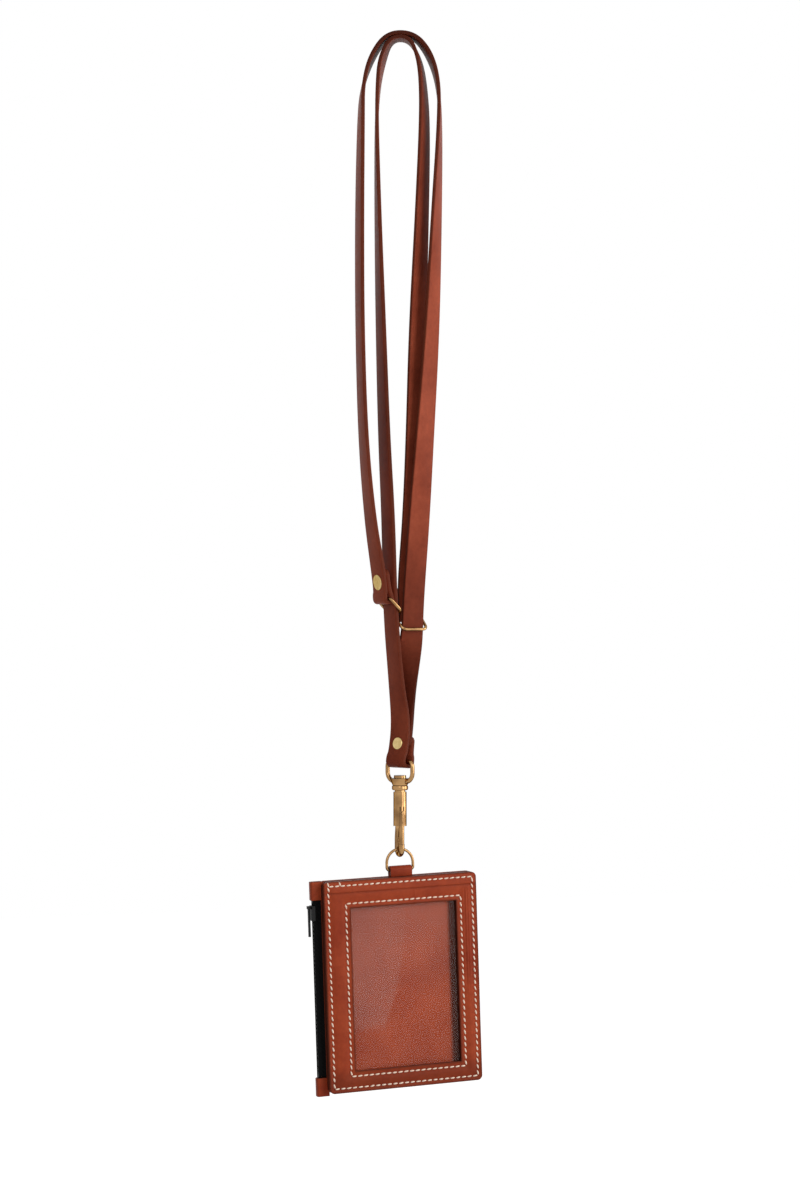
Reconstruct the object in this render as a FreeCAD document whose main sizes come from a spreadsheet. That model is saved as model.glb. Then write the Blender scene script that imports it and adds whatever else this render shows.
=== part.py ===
import FreeCAD
import Part
import Sketcher
import math
import os

# An ID badge wallet on a leather neck strap, in millimetres, +Z up.
# The origin is the underside of the strap's crown, where the strap hangs from a peg or a neck.
# The wallet's window faces -Y.

doc = FreeCAD.newDocument("BadgeWallet")
Vector = FreeCAD.Vector
Placement = FreeCAD.Placement
Rotation = FreeCAD.Rotation

# Driving dimensions
driving = [
    ("strap_width", 11.5, "leather strap, edge to edge"),
    ("strap_leather", 1.8, "leather strap, thickness"),
    ("strap_turn", -20.0, "turn of the hanging strap about Z, degrees"),
    ("adjuster_inner", 12.6, "strap room inside an adjuster ring"),
    ("adjuster_depth", 8.6, "adjuster ring, bar to far side, wire centres"),
    ("adjuster_reach", 6.2, "level distance from an adjuster ring's bar to its far side"),
    ("adjuster_wire", 1.4, "adjuster ring wire diameter"),
    ("adjuster_near", 1.3, "adjuster ring corner radius at its bar, wire centre"),
    ("adjuster_corner", 2.6, "adjuster ring corner radius at its far side, wire centre"),
    ("rivet_cap", 7.4, "upper rivet cap diameter"),
    ("lower_rivet_cap", 5.8, "lower rivet cap diameter"),
    ("rivet_dome", 0.6, "rivet cap height"),
    ("rivet_round", 0.4, "rivet cap's rounded edge"),
    ("rivet_post", 2.4, "rivet post diameter"),
    ("rivet_back", 5.4, "rivet back disc diameter"),
    ("rivet_back_height", 0.9, "rivet back disc height"),
    ("eye_width", 15.7, "swivel eye, side bar to side bar"),
    ("eye_height", 9.6, "swivel eye, crossbar to base, wire centres"),
    ("eye_wire", 2.1, "swivel eye wire diameter"),
    ("eye_corner", 2.4, "swivel eye corner radius at its crossbar, wire centre"),
    ("eye_shoulder", 4.4, "swivel eye corner radius at its base, wire centre"),
    ("eye_level", 343.5, "crown to the eye's crossbar"),
    ("eye_boss", 7.2, "swivel eye base boss diameter, below"),
    ("eye_boss_top", 9.6, "swivel eye base boss diameter, above"),
    ("eye_boss_height", 3.2, "swivel eye base boss height"),
    ("post_shaft", 2.4, "swivel post diameter"),
    ("post_head", 5.8, "swivel post head diameter"),
    ("post_head_height", 1.3, "swivel post head height"),
    ("running_gap", 0.1, "running clearance of turning pieces"),
    ("collar_width", 7.7, "snap collar diameter"),
    ("collar_height", 2.3, "snap collar height"),
    ("groove_width", 5.0, "snap groove below the collar, diameter"),
    ("groove_height", 0.8, "snap groove below the collar, height"),
    ("barrel_width", 6.3, "snap barrel diameter"),
    ("barrel_height", 16.2, "snap barrel height"),
    ("hook_wire", 2.8, "hook diameter"),
    ("neck_width", 3.5, "hook's neck where it leaves the barrel, diameter"),
    ("hook_back", 3.3, "hook's back leg behind the barrel's axis"),
    ("hook_front", 2.3, "hook's tip, and the bolt, ahead of the barrel's axis"),
    ("hook_bottom", 389.0, "crown to the hook's lowest point"),
    ("hook_tip", 382.7, "crown to the hook's tip"),
    ("bolt_width", 2.5, "bolt diameter"),
    ("bolt_top", 367.0, "crown to the bolt's upper end"),
    ("bolt_travel", 2.0, "bolt travel"),
    ("stud_width", 1.6, "thumb stud diameter"),
    ("stud_reach", 2.2, "thumb stud, from the bolt's axis"),
    ("spring_width", 1.9, "bolt spring outer diameter"),
    ("spring_bore", 1.1, "bolt spring inner diameter"),
    ("spring_seat", 359.4, "crown to the bolt spring's upper seat"),
    ("ring_width", 13.2, "hang ring, side to side, wire centres"),
    ("ring_height", 9.9, "hang ring, bar to top, wire centres"),
    ("ring_wire", 1.3, "hang ring wire diameter"),
    ("ring_corner", 1.4, "hang ring corner radius, wire centre"),
    ("bar_level", 395.0, "crown to the hang ring's bar"),
    ("wallet_lean", -2.0, "wallet's lean in its own plane, degrees about Y"),
    ("panel_width", 76.9, "wallet panel, side to side"),
    ("panel_height", 99.9, "wallet panel, top to bottom"),
    ("panel_corner", 2.4, "wallet panel corner radius"),
    ("panel_drop", 2.9, "hang ring's bar to the wallet's top edge"),
    ("panel_shift", 1.8, "hang ring's middle to the panel's middle, towards the zip"),
    ("panel_leather", 1.5, "front panel thickness"),
    ("front_offset", 5.2, "hang ring's bar to the front face, level"),
    ("window_width", 53.3, "window, side to side"),
    ("window_height", 77.0, "window, top to bottom"),
    ("window_left", 13.1, "zip edge to the window"),
    ("window_top", 13.1, "top edge to the window"),
    ("window_corner", 0.8, "window corner radius"),
    ("film_margin", 4.6, "film hidden round the window"),
    ("film_thickness", 0.3, "window film thickness"),
    ("backing_thickness", 2.5, "card backing thickness at its rim"),
    ("card_recess", 1.3, "card backing's recess for film and card"),
    ("card_margin", 5.0, "card recess round the window"),
    ("pocket_depth", 4.6, "zip pocket, front to back"),
    ("pocket_rim", 3.0, "closed rim round the zip pocket"),
    ("back_leather", 1.4, "back panel thickness"),
    ("back_round", 2.4, "back panel's rounded rear edge"),
    ("loop_width", 11.0, "hang loop, side to side"),
    ("loop_leather", 1.2, "hang loop thickness"),
    ("loop_tail", 8.0, "hang loop sewn in below the wallet's top edge"),
    ("loop_round", 4.2, "hang loop's fold, outer diameter"),
    ("loop_bore", 1.6, "hang loop's fold, inner diameter"),
    ("seam_inset", 1.9, "outer seam from the panel's edge"),
    ("window_seam", 2.6, "window seam from the window's edge"),
    ("thread_width", 0.6, "seam thread width"),
    ("thread_height", 0.3, "seam thread standing above the leather"),
    ("tab_length", 8.8, "zip end tab, along the zip"),
    ("tab_reach", 4.8, "zip end tab, out from the wallet's side"),
    ("tab_thickness", 4.0, "zip end tab, front to back"),
    ("tab_overhang", 1.5, "lower zip end tab below the wallet's edge"),
    ("side_gap", 0.1, "gap between the wallet's side and the zip end tabs"),
    ("tape_cloth", 0.5, "zip tape thickness"),
    ("tape_inside", 4.5, "zip tape inside the pocket"),
    ("tape_reach", 2.8, "zip tape, out from the wallet's side"),
    ("tooth_pitch", 2.0, "zip teeth, one to the next"),
    ("tooth_height", 1.1, "zip tooth along the zip"),
    ("tooth_reach", 0.8, "zip tooth beyond the tape"),
    ("tooth_depth", 0.75, "zip tooth, front to back"),
    ("tooth_bead", 0.5, "zip bead that the teeth stand on"),
    ("row_gap", 0.5, "gap between the two rows of teeth"),
    ("slider_length", 7.0, "zip slider, along the zip"),
    ("slider_width", 4.6, "zip slider, front to back"),
    ("slider_plate", 0.8, "zip slider outer plate thickness"),
    ("slider_web", 0.3, "zip slider web between the rows"),
    ("slider_drop", 11.3, "wallet's top edge to the slider"),
    ("puller_length", 13.8, "zip puller, pivot to end"),
    ("puller_width", 1.0, "zip puller width"),
    ("puller_pin", 0.7, "zip puller pin diameter"),
    ("puller_eye", 1.6, "zip puller eye diameter"),
    ("puller_stand", 0.95, "zip puller pin, out from the slider's plate"),
    ("slider_lip", 0.7, "zip slider lip and inner plate thickness"),
    ("slider_inner", 1.1, "zip slider inner plate, front to back"),
    ("slider_lug", 0.6, "zip slider lug thickness"),
    ("stop_height", 1.6, "zip stop, along the zip"),
    ("tooth_count", 40, "zip teeth in a row"),
    ("tab_round", 1.2, "zip end tab's rounded outer edge"),
    ("fold_gap", 0.15, "room round a bar inside a strap fold"),
    ("layer_gap", 0.12, "gap between riveted strap layers"),
    ("rivet_height", 8.0, "adjuster ring's bar to the rivet in its fold"),
    ("lower_rivet_height", 8.3, "swivel eye's crossbar to the lower rivet"),
    ("collar_round", 0.7, "snap collar's rounded edges"),
    ("spring_ahead", 2.1, "bolt spring ahead of the barrel's axis"),
]
sheet = doc.addObject("Spreadsheet::Sheet", "Dimensions")
for row, (alias, value, note) in enumerate(driving, 1):
    sheet.set(f"A{row}", note)
    sheet.set(f"B{row}", str(value))
    sheet.setAlias(f"B{row}", alias)
doc.recompute()


def dim(alias):
    return float(sheet.get(alias))


def cell(formula):
    """A formula in the sheet's aliases, with each alias given its sheet name."""
    words = formula.split()
    aliases = {entry[0] for entry in driving}
    return " ".join("Dimensions." + word if word in aliases else word for word in words)


nodes = []


def node(item, label, place=None):
    item.Label = label
    if place is not None:
        item.Placement = place
    nodes.append(item)
    return item


def bind(item, **formulas):
    for field, formula in formulas.items():
        item.setExpression(field.replace("_Placement__", ".Placement.").replace("__", "."), cell(formula))


# Frames: the strap hangs turned about Z, and the wallet leans about the hang ring's bar
strapFrame = Placement(Vector(), Rotation(Vector(0, 0, 1), dim("strap_turn")))
walletFrame = Placement(Vector(0, 0, -dim("bar_level")), Rotation(Vector(0, 1, 0), dim("wallet_lean")))


def axes_frame(origin, xAxis, yAxis):
    zAxis = xAxis.cross(yAxis)
    return Placement(FreeCAD.Matrix(
        xAxis.x, yAxis.x, zAxis.x, origin.x,
        xAxis.y, yAxis.y, zAxis.y, origin.y,
        xAxis.z, yAxis.z, zAxis.z, origin.z,
        0, 0, 0, 1))


# Bodies and sketches
def new_body(label, place=None):
    return node(doc.addObject("PartDesign::Body", label), label, place)


def new_sketch(body, name, role, offset="0"):
    sketch = body.newObject("Sketcher::SketchObject", body.Name + name)
    plane = [item for item in body.Origin.OriginFeatures if item.Role == role][0]
    sketch.AttachmentSupport = [(plane, "")]
    sketch.MapMode = "FlatFace"
    sketch.setExpression(".AttachmentOffset.Base.z", cell(offset))
    return sketch


def draw_polygon(sketch, corners):
    """A closed outline whose corners are pairs of formulas measured from the sketch's origin."""
    rough = [Vector(math.cos(turn), math.sin(turn), 0) * 20
             for turn in (2 * math.pi * index / len(corners) for index in range(len(corners)))]
    first = sketch.GeometryCount
    for index, start in enumerate(rough):
        sketch.addGeometry(Part.LineSegment(start, rough[(index + 1) % len(rough)]), False)
    for index, (across, up) in enumerate(corners):
        line = first + index
        following = first + (index + 1) % len(corners)
        sketch.addConstraint(Sketcher.Constraint("Coincident", line, 2, following, 1))
        for kind, formula in (("DistanceX", across), ("DistanceY", up)):
            number = sketch.addConstraint(Sketcher.Constraint(kind, -1, 1, line, 1, 1.0))
            sketch.setExpression(f"Constraints[{number}]", cell(formula))


def draw_rectangle(sketch, left, low, right, high):
    draw_polygon(sketch, [(left, low), (right, low), (right, high), (left, high)])


def draw_circle(sketch, across, up, diameter):
    number = sketch.addGeometry(Part.Circle(Vector(1, 1, 0), Vector(0, 0, 1), 1.0), False)
    for kind, formula in (("DistanceX", across), ("DistanceY", up)):
        limit = sketch.addConstraint(Sketcher.Constraint(kind, -1, 1, number, 3, 1.0))
        sketch.setExpression(f"Constraints[{limit}]", cell(formula))
    limit = sketch.addConstraint(Sketcher.Constraint("Diameter", number, 2.0))
    sketch.setExpression(f"Constraints[{limit}]", cell(diameter))


def add_pad(body, sketch, length, backward=False, both=False):
    pad = body.newObject("PartDesign::Pad", sketch.Name + "Pad")
    pad.Profile = sketch
    pad.Reversed = backward
    pad.Midplane = both
    pad.setExpression("Length", cell(length))
    doc.recompute()
    return pad


def add_pocket(body, sketch, length, backward=False, both=False):
    before = body.Shape.Volume
    pocket = body.newObject("PartDesign::Pocket", sketch.Name + "Pocket")
    pocket.Profile = sketch
    pocket.Reversed = backward
    pocket.Midplane = both
    pocket.setExpression("Length", cell(length))
    doc.recompute()
    if body.Shape.Volume > before - 0.01:
        raise ValueError(f"{pocket.Name} cuts nothing")
    return pocket


def add_fillet(body, radius, chosen):
    """Round the edges of the body's tip that the test picks out."""
    base = body.Tip
    names = [f"Edge{index}" for index, edge in enumerate(base.Shape.Edges, 1) if chosen(edge)]
    fillet = body.newObject("PartDesign::Fillet", body.Name + f"Fillet{len(body.Group)}")
    fillet.Base = (base, names)
    fillet.setExpression("Radius", cell(radius))
    doc.recompute()
    return fillet


def along_y(edge):
    ends = [vertex.Point for vertex in edge.Vertexes]
    return len(ends) == 2 and abs((ends[1] - ends[0]).normalize().y) > 0.99


def along_z(edge):
    ends = [vertex.Point for vertex in edge.Vertexes]
    return len(ends) == 2 and abs((ends[1] - ends[0]).normalize().z) > 0.99


def outer_side():
    return -dim("panel_shift") - dim("panel_width") / 2 - dim("tab_reach") / 2


# Wallet panels, seen from the front: X from the zip edge, Z below the hang ring's bar
edgeLeft = "0 - panel_shift - panel_width / 2"
edgeRight = "panel_width / 2 - panel_shift"
edgeTop = "0 - panel_drop"
edgeBottom = "0 - panel_drop - panel_height"
windowLeft = "window_left - panel_shift - panel_width / 2"
windowRight = "window_left + window_width - panel_shift - panel_width / 2"
windowHigh = "0 - panel_drop - window_top"
windowLow = "0 - panel_drop - window_top - window_height"
frontLevel = "front_offset"
backingLevel = "front_offset - panel_leather"
pocketLevel = "front_offset - panel_leather - backing_thickness"


def is_window_corner(edge):
    middle = edge.CenterOfMass
    return along_y(edge) and abs(middle.x + dim("panel_shift")) < dim("panel_width") / 2 - 1


def is_outer_corner(edge):
    return along_y(edge) and not is_window_corner(edge)


frontPanel = new_body("front_panel", walletFrame)
outline = new_sketch(frontPanel, "Outline", "XZ_Plane", frontLevel)
draw_rectangle(outline, edgeLeft, edgeBottom, edgeRight, edgeTop)
draw_rectangle(outline, windowLeft, windowLow, windowRight, windowHigh)
add_pad(frontPanel, outline, "panel_leather", backward=True)
add_fillet(frontPanel, "panel_corner", is_outer_corner)
add_fillet(frontPanel, "window_corner", is_window_corner)

film = new_body("window_film", walletFrame)
outline = new_sketch(film, "Outline", "XZ_Plane", backingLevel)
draw_rectangle(outline, windowLeft + " - film_margin", windowLow + " - film_margin",
               windowRight + " + film_margin", windowHigh + " + film_margin")
add_pad(film, outline, "film_thickness", backward=True)

backing = new_body("card_backing", walletFrame)
outline = new_sketch(backing, "Outline", "XZ_Plane", backingLevel)
draw_rectangle(outline, edgeLeft, edgeBottom, edgeRight, edgeTop)
add_pad(backing, outline, "backing_thickness", backward=True)
recess = new_sketch(backing, "Recess", "XZ_Plane", backingLevel)
draw_rectangle(recess, windowLeft + " - card_margin", windowLow + " - card_margin",
               windowRight + " + card_margin", windowHigh + " + card_margin")
add_pocket(backing, recess, "card_recess")
add_fillet(backing, "panel_corner", is_outer_corner)

# Back panel: one moulded leather with a closed rim on three sides, open to the zip on the fourth
backPanel = new_body("back_panel", walletFrame)
outline = new_sketch(backPanel, "Outline", "XZ_Plane", pocketLevel)
draw_rectangle(outline, edgeLeft, edgeBottom, edgeRight, edgeTop)
add_pad(backPanel, outline, "pocket_depth + back_leather", backward=True)
add_fillet(backPanel, "panel_corner", is_outer_corner)
rear = -dim("front_offset") + dim("panel_leather") + dim("backing_thickness")
rear += dim("pocket_depth") + dim("back_leather")
add_fillet(backPanel, "back_round", lambda edge: abs(edge.CenterOfMass.y - rear) < 0.01)
hollow = new_sketch(backPanel, "Hollow", "XZ_Plane", pocketLevel)
draw_rectangle(hollow, edgeLeft + " - 1", edgeBottom + " + pocket_rim",
               edgeRight + " - pocket_rim", edgeTop + " - pocket_rim")
add_pocket(backPanel, hollow, "pocket_depth")
notch = new_sketch(backPanel, "Notch", "XZ_Plane", pocketLevel)
draw_rectangle(notch, "0 - loop_width / 2 - side_gap", edgeTop + " - pocket_rim - 1",
               "loop_width / 2 + side_gap", edgeTop + " + 1")
add_pocket(backPanel, notch, "2 * loop_leather + side_gap")

# Hang loop: a strip folded over the hang ring's bar, both tails sewn in behind the card backing
loop = new_body("hang_loop", walletFrame)
fold = new_sketch(loop, "Fold", "YZ_Plane")
draw_circle(fold, "0", "0", "loop_round")
add_pad(loop, fold, "loop_width", both=True)
tails = new_sketch(loop, "Tails", "YZ_Plane")
draw_rectangle(tails, "0 - loop_leather", edgeTop + " - loop_tail", "loop_leather", "0")
add_pad(loop, tails, "loop_width", both=True)
bore = new_sketch(loop, "Bore", "YZ_Plane")
draw_circle(bore, "0", "0", "loop_bore")
add_pocket(loop, bore, "loop_width", both=True)


# Seam threads: one thread round the panel's edge and one round the window, lying on the leather
def seam_thread(label, left, low, right, high):
    body = new_body(label, walletFrame)
    path = new_sketch(body, "Path", "XZ_Plane", frontLevel)
    draw_rectangle(path, left, low, right, high)
    draw_rectangle(path, left + " + thread_width", low + " + thread_width",
                   right + " - thread_width", high + " - thread_width")
    add_pad(body, path, "thread_height")


seam_thread("outer_seam", edgeLeft + " + seam_inset", edgeBottom + " + seam_inset",
            edgeRight + " - seam_inset", edgeTop + " - seam_inset")
seam_thread("window_seam", windowLeft + " - window_seam", windowLow + " - window_seam",
            windowRight + " + window_seam", windowHigh + " + window_seam")


# Zip along the wallet's left edge: two tapes, two rows of teeth, stops, end tabs, slider and puller
side = edgeLeft
pocketFront = "panel_leather + backing_thickness - front_offset"
zipMiddle = pocketFront + " + pocket_depth / 2"
tapeTop = edgeTop + " - tab_length"
tapeBottom = edgeBottom + " - tab_overhang + tab_length"
tapeEdge = side + " - tape_reach"
zipAxis = "Z_Axis"


def add_block(body, name, west, front, east, back, low, height):
    """A block in the wallet's frame: a rectangle seen from above, raised from its low face."""
    base = new_sketch(body, name, "XY_Plane", low)
    draw_rectangle(base, west, front, east, back)
    return add_pad(body, base, height)


for label, hand in (("front", "- 1 *"), ("back", "+ 1 *")):
    tape = new_body(f"zip_tape_{label}", walletFrame)
    fold = new_sketch(tape, "Fold", "XY_Plane", tapeBottom)
    draw_polygon(fold, [
        (side + " + tape_inside", zipMiddle + f" {hand} pocket_depth / 2"),
        (side + " - tape_cloth", zipMiddle + f" {hand} pocket_depth / 2"),
        (tapeEdge, zipMiddle + f" {hand} ( row_gap / 2 + tooth_depth )"),
        (tapeEdge, zipMiddle + f" {hand} ( row_gap / 2 + tooth_depth - tape_cloth )"),
        (side + " - tape_cloth / 2", zipMiddle + f" {hand} ( pocket_depth / 2 - tape_cloth )"),
        (side + " + tape_inside", zipMiddle + f" {hand} ( pocket_depth / 2 - tape_cloth )"),
    ])
    add_pad(tape, fold, "panel_height + tab_overhang - 2 * tab_length")

    teeth = new_body(f"zip_teeth_{label}", walletFrame)
    rowFar = zipMiddle + f" {hand} ( row_gap / 2 + tooth_depth )"
    rowNear = zipMiddle + f" {hand} row_gap / 2"
    rowFoot = tapeBottom + " + stop_height"
    beadNear = zipMiddle + f" {hand} ( row_gap / 2 + running_gap )"
    add_block(teeth, "Bead", tapeEdge + " - tooth_bead", beadNear, tapeEdge, rowFar,
              rowFoot, "( tooth_count - 1 ) * tooth_pitch + tooth_height")
    tooth = add_block(teeth, "Tooth", tapeEdge + " - tooth_reach", rowNear, tapeEdge, rowFar,
                      rowFoot, "tooth_height")
    row = teeth.newObject("PartDesign::LinearPattern", f"Row_{label}")
    row.Originals = [tooth]
    row.Direction = ([item for item in teeth.Origin.OriginFeatures if item.Role == zipAxis][0], [""])
    row.setExpression("Length", cell("( tooth_count - 1 ) * tooth_pitch"))
    row.setExpression("Occurrences", cell("tooth_count"))
    teeth.Tip = row
    doc.recompute()

tabs = (("top", edgeTop + " - tab_length"), ("bottom", edgeBottom + " - tab_overhang"))
for label, low in tabs:
    tab = new_body(f"zip_end_tab_{label}", walletFrame)
    add_block(tab, "Block", side + " - side_gap - tab_reach", zipMiddle + " - tab_thickness / 2",
              side + " - side_gap", zipMiddle + " + tab_thickness / 2", low, "tab_length")
    add_fillet(tab, "tab_round", lambda edge: along_z(edge) and edge.CenterOfMass.x < outer_side())


def stop_block(name, front, back, low):
    block = doc.addObject("Part::Box", name)
    block.setExpression("Length", cell("tooth_reach"))
    block.setExpression("Width", cell(f"{back} - ( {front} )"))
    block.setExpression("Height", cell("stop_height - running_gap"))
    block.setExpression(".Placement.Base.x", cell(tapeEdge + " - tooth_reach"))
    block.setExpression(".Placement.Base.y", cell(front))
    block.setExpression(".Placement.Base.z", cell(low))
    return block


stopFar = "row_gap / 2 + tooth_depth"
stops = doc.addObject("Part::Compound", "ZipStops")
stops.Links = [
    stop_block("TopStopFront", f"{zipMiddle} - ( {stopFar} )", f"{zipMiddle} - row_gap / 2",
               tapeTop + " - stop_height + running_gap"),
    stop_block("TopStopBack", zipMiddle + " + row_gap / 2", f"{zipMiddle} + {stopFar}",
               tapeTop + " - stop_height + running_gap"),
    stop_block("BottomStop", f"{zipMiddle} - ( {stopFar} )", f"{zipMiddle} + {stopFar}", tapeBottom),
]
node(stops, "zip_stops", walletFrame)

# Slider: an outer plate with lips, a web between the rows of teeth, an inner plate and a bail
slider = new_body("zip_slider", walletFrame)
plateIn = tapeEdge + " - tooth_reach - 3 * running_gap"
plateOut = plateIn + " - slider_plate"
sliderLow = edgeTop + " - slider_drop - slider_length"
sliderFront = zipMiddle + " - slider_width / 2"
sliderBack = zipMiddle + " + slider_width / 2"
add_block(slider, "Plate", plateOut, sliderFront, plateIn, sliderBack, sliderLow, "slider_length")
add_block(slider, "LipFront", plateIn, sliderFront, plateIn + " + slider_lip",
          sliderFront + " + tape_cloth", sliderLow, "slider_length")
add_block(slider, "LipBack", plateIn, sliderBack + " - tape_cloth", plateIn + " + slider_lip",
          sliderBack, sliderLow, "slider_length")
add_block(slider, "Web", plateIn, zipMiddle + " - slider_web / 2", side + " - tape_reach / 2",
          zipMiddle + " + slider_web / 2", sliderLow, "slider_length")
add_block(slider, "Inner", side + " - tape_reach / 2 - slider_lip", zipMiddle + " - slider_inner / 2",
          side + " - tape_reach / 2", zipMiddle + " + slider_inner / 2", sliderLow, "slider_length")
pivotAcross = plateOut + " - puller_stand"
pivotUp = edgeTop + " - slider_drop - puller_eye / 2"
for name, hand in (("LugFront", "- 1 *"), ("LugBack", "+ 1 *")):
    add_block(slider, name, pivotAcross + " - puller_pin",
              zipMiddle + f" {hand} ( puller_width / 2 + running_gap )", plateOut,
              zipMiddle + f" {hand} ( puller_width / 2 + running_gap + slider_lug )",
              pivotUp + " - puller_pin", "2 * puller_pin")
pin = new_sketch(slider, "Pin", "XZ_Plane", "- 1 * ( " + zipMiddle + " )")
draw_circle(pin, pivotAcross, pivotUp, "puller_pin")
add_pad(slider, pin, "puller_width + 2 * slider_lug", both=True)

puller = new_body("zip_puller", walletFrame)
eye = new_sketch(puller, "Eye", "XZ_Plane", "- 1 * ( " + zipMiddle + " )")
draw_circle(eye, pivotAcross, pivotUp, "puller_eye")
add_pad(puller, eye, "puller_width", both=True)
rod = new_sketch(puller, "Rod", "XZ_Plane", "- 1 * ( " + zipMiddle + " )")
draw_rectangle(rod, pivotAcross + " - puller_width / 2", pivotUp + " - puller_length",
               pivotAcross + " + puller_width / 2", pivotUp)
add_pad(puller, rod, "puller_width", both=True)
hole = new_sketch(puller, "Hole", "XZ_Plane", "- 1 * ( " + zipMiddle + " )")
draw_circle(hole, pivotAcross, pivotUp, "puller_pin + 2 * running_gap")
add_pocket(puller, hole, "2 * puller_width", both=True)

# Wire rings: a bent wire in the XY plane, its bar along X at the origin and its far side along +Y
def wire_piece(kind, name, place, **formulas):
    piece = doc.addObject(kind, name)
    piece.Placement = place
    bind(piece, **formulas)
    return piece


def wire_ring(name, width, depth, nearCorner, farCorner, wire):
    half = f"{width} / 2"
    pieces = [wire_piece("Part::Cylinder", name + "Bar", Placement(Vector(), Rotation(Vector(0, 1, 0), 90)),
                         Radius=f"{wire} / 2", Height=f"{width} - 2 * {nearCorner}",
                         _Placement__Base__x=f"{nearCorner} - {half}")]
    if farCorner != half:
        pieces.append(wire_piece("Part::Cylinder", name + "Far",
                                 Placement(Vector(), Rotation(Vector(0, 1, 0), 90)),
                                 Radius=f"{wire} / 2", Height=f"{width} - 2 * {farCorner}",
                                 _Placement__Base__x=f"{farCorner} - {half}",
                                 _Placement__Base__y=depth))
    corners = (("West", "- 1 *", 180, 90), ("East", "1 *", 270, 0))
    for end, hand, nearTurn, farTurn in corners:
        pieces.append(wire_piece("Part::Cylinder", name + "Side" + end,
                                 Placement(Vector(), Rotation(Vector(1, 0, 0), -90)),
                                 Radius=f"{wire} / 2", Height=f"{depth} - {nearCorner} - {farCorner}",
                                 _Placement__Base__x=f"{hand} {half}",
                                 _Placement__Base__y=nearCorner))
        for level, corner, turn in (("Near", nearCorner, nearTurn), ("Far", farCorner, farTurn)):
            up = corner if level == "Near" else f"{depth} - {corner}"
            pieces.append(wire_piece("Part::Torus", name + level + end,
                                     Placement(Vector(), Rotation(Vector(0, 0, 1), turn)),
                                     Radius1=corner, Radius2=f"{wire} / 2", Angle3="90",
                                     _Placement__Base__x=f"{hand} ( {half} - {corner} )",
                                     _Placement__Base__y=up))
    ring = doc.addObject("Part::MultiFuse", name)
    ring.Shapes = pieces
    return ring


hangRing = wire_ring("HangRing", "ring_width", "ring_height", "ring_corner", "ring_width / 2", "ring_wire")
upright = axes_frame(Vector(), Vector(1, 0, 0), Vector(0, 0, 1))
node(hangRing, "hang_ring", walletFrame.multiply(upright))


# Folds: a strap end turned round a bar. The strap's face looks along the level direction at this yaw
# from the view, and the fold leans from upright by a few degrees.
class Fold:
    def __init__(self, bar, yaw, lean):
        level = Vector(math.sin(math.radians(yaw)), -math.cos(math.radians(yaw)), 0)
        tilt = math.radians(lean)
        self.bar = bar
        self.turn = -(90 + yaw) if yaw < 0 else 90 - yaw
        self.along = Vector(math.cos(math.radians(yaw)), math.sin(math.radians(yaw)), 0)
        self.face = level * math.cos(tilt) - Vector(0, 0, math.sin(tilt))
        self.up = Vector(0, 0, math.cos(tilt)) + level * math.sin(tilt)
        self.level = level

    def point(self, outward, height):
        return self.bar + self.face * outward + self.up * height

    def points(self, pairs, turn=None):
        return [(self.point(*pair), self.turn if turn is None else turn) for pair in pairs]

    def rivet_frame(self, outward, height):
        across = self.along
        return strapFrame.multiply(axes_frame(self.point(outward, height), across, self.face.cross(across)))


thick = dim("strap_leather")
layer = thick + dim("layer_gap")
adjusterFold = dim("adjuster_wire") / 2 + dim("fold_gap") + thick / 2
eyeFold = dim("eye_wire") / 2 + dim("fold_gap") + thick / 2

lowerFold = Fold(Vector(0, 0, -dim("eye_level")), -41.4, -9.0)
leftFold = Fold(Vector(-7.9, -6.1, -266.0), -60.0, 8.0)
rightFold = Fold(Vector(3.8, 1.0, -274.5), 32.0, -3.0)

# Adjuster rings: each bar lies in one strap's end fold, and the other strap runs through the ring
for name, label, fold, hand in (("LeftRing", "left_adjuster_ring", leftFold, -1),
                                ("RightRing", "right_adjuster_ring", rightFold, 1)):
    reach = dim("adjuster_reach") / dim("adjuster_depth")
    downward = fold.level * (hand * reach) - Vector(0, 0, math.sqrt(1 - reach ** 2))
    ring = wire_ring(name, "( adjuster_inner + adjuster_wire )", "adjuster_depth", "adjuster_near",
                     "adjuster_corner", "adjuster_wire")
    node(ring, label, strapFrame.multiply(axes_frame(fold.bar, fold.along, downward)))

# Swivel eye: crossbar in the lower fold, base boss below, with the hole that the post turns in
eyeFrame = strapFrame.multiply(axes_frame(lowerFold.bar, lowerFold.along, Vector(0, 0, -1)))
eyeWire = wire_ring("EyeWire", "eye_width", "eye_height", "eye_corner", "eye_shoulder", "eye_wire")
bossTurn = Rotation(Vector(1, 0, 0), -90)
bossStart = "eye_height - eye_boss_height / 2"
boss = wire_piece("Part::Cone", "EyeBoss", Placement(Vector(), bossTurn), Radius1="eye_boss_top / 2",
                  Radius2="eye_boss / 2", Height="eye_boss_height", _Placement__Base__y=bossStart)
eyeSolid = doc.addObject("Part::MultiFuse", "EyeSolid")
eyeSolid.Shapes = [eyeWire, boss]
eyeHole = wire_piece("Part::Cylinder", "EyeHole", Placement(Vector(), bossTurn),
                     Radius="post_shaft / 2 + running_gap", Height="2 * eye_boss_height",
                     _Placement__Base__y=bossStart + " - eye_boss_height / 2")
swivelEye = doc.addObject("Part::Cut", "SwivelEye")
swivelEye.Base = eyeSolid
swivelEye.Tool = eyeHole
node(swivelEye, "swivel_eye", eyeFrame)


# Snap hook below the eye, its gate towards -Y
def add_round(body, name, ahead, diameter, level, height, down=True):
    """An upright round bar, its axis on the Y axis, from one level down or up."""
    disc = new_sketch(body, name, "XY_Plane", level)
    draw_circle(disc, "0", f"- 1 * ( {ahead} )", diameter)
    return add_pad(body, disc, height, backward=down)


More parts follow.
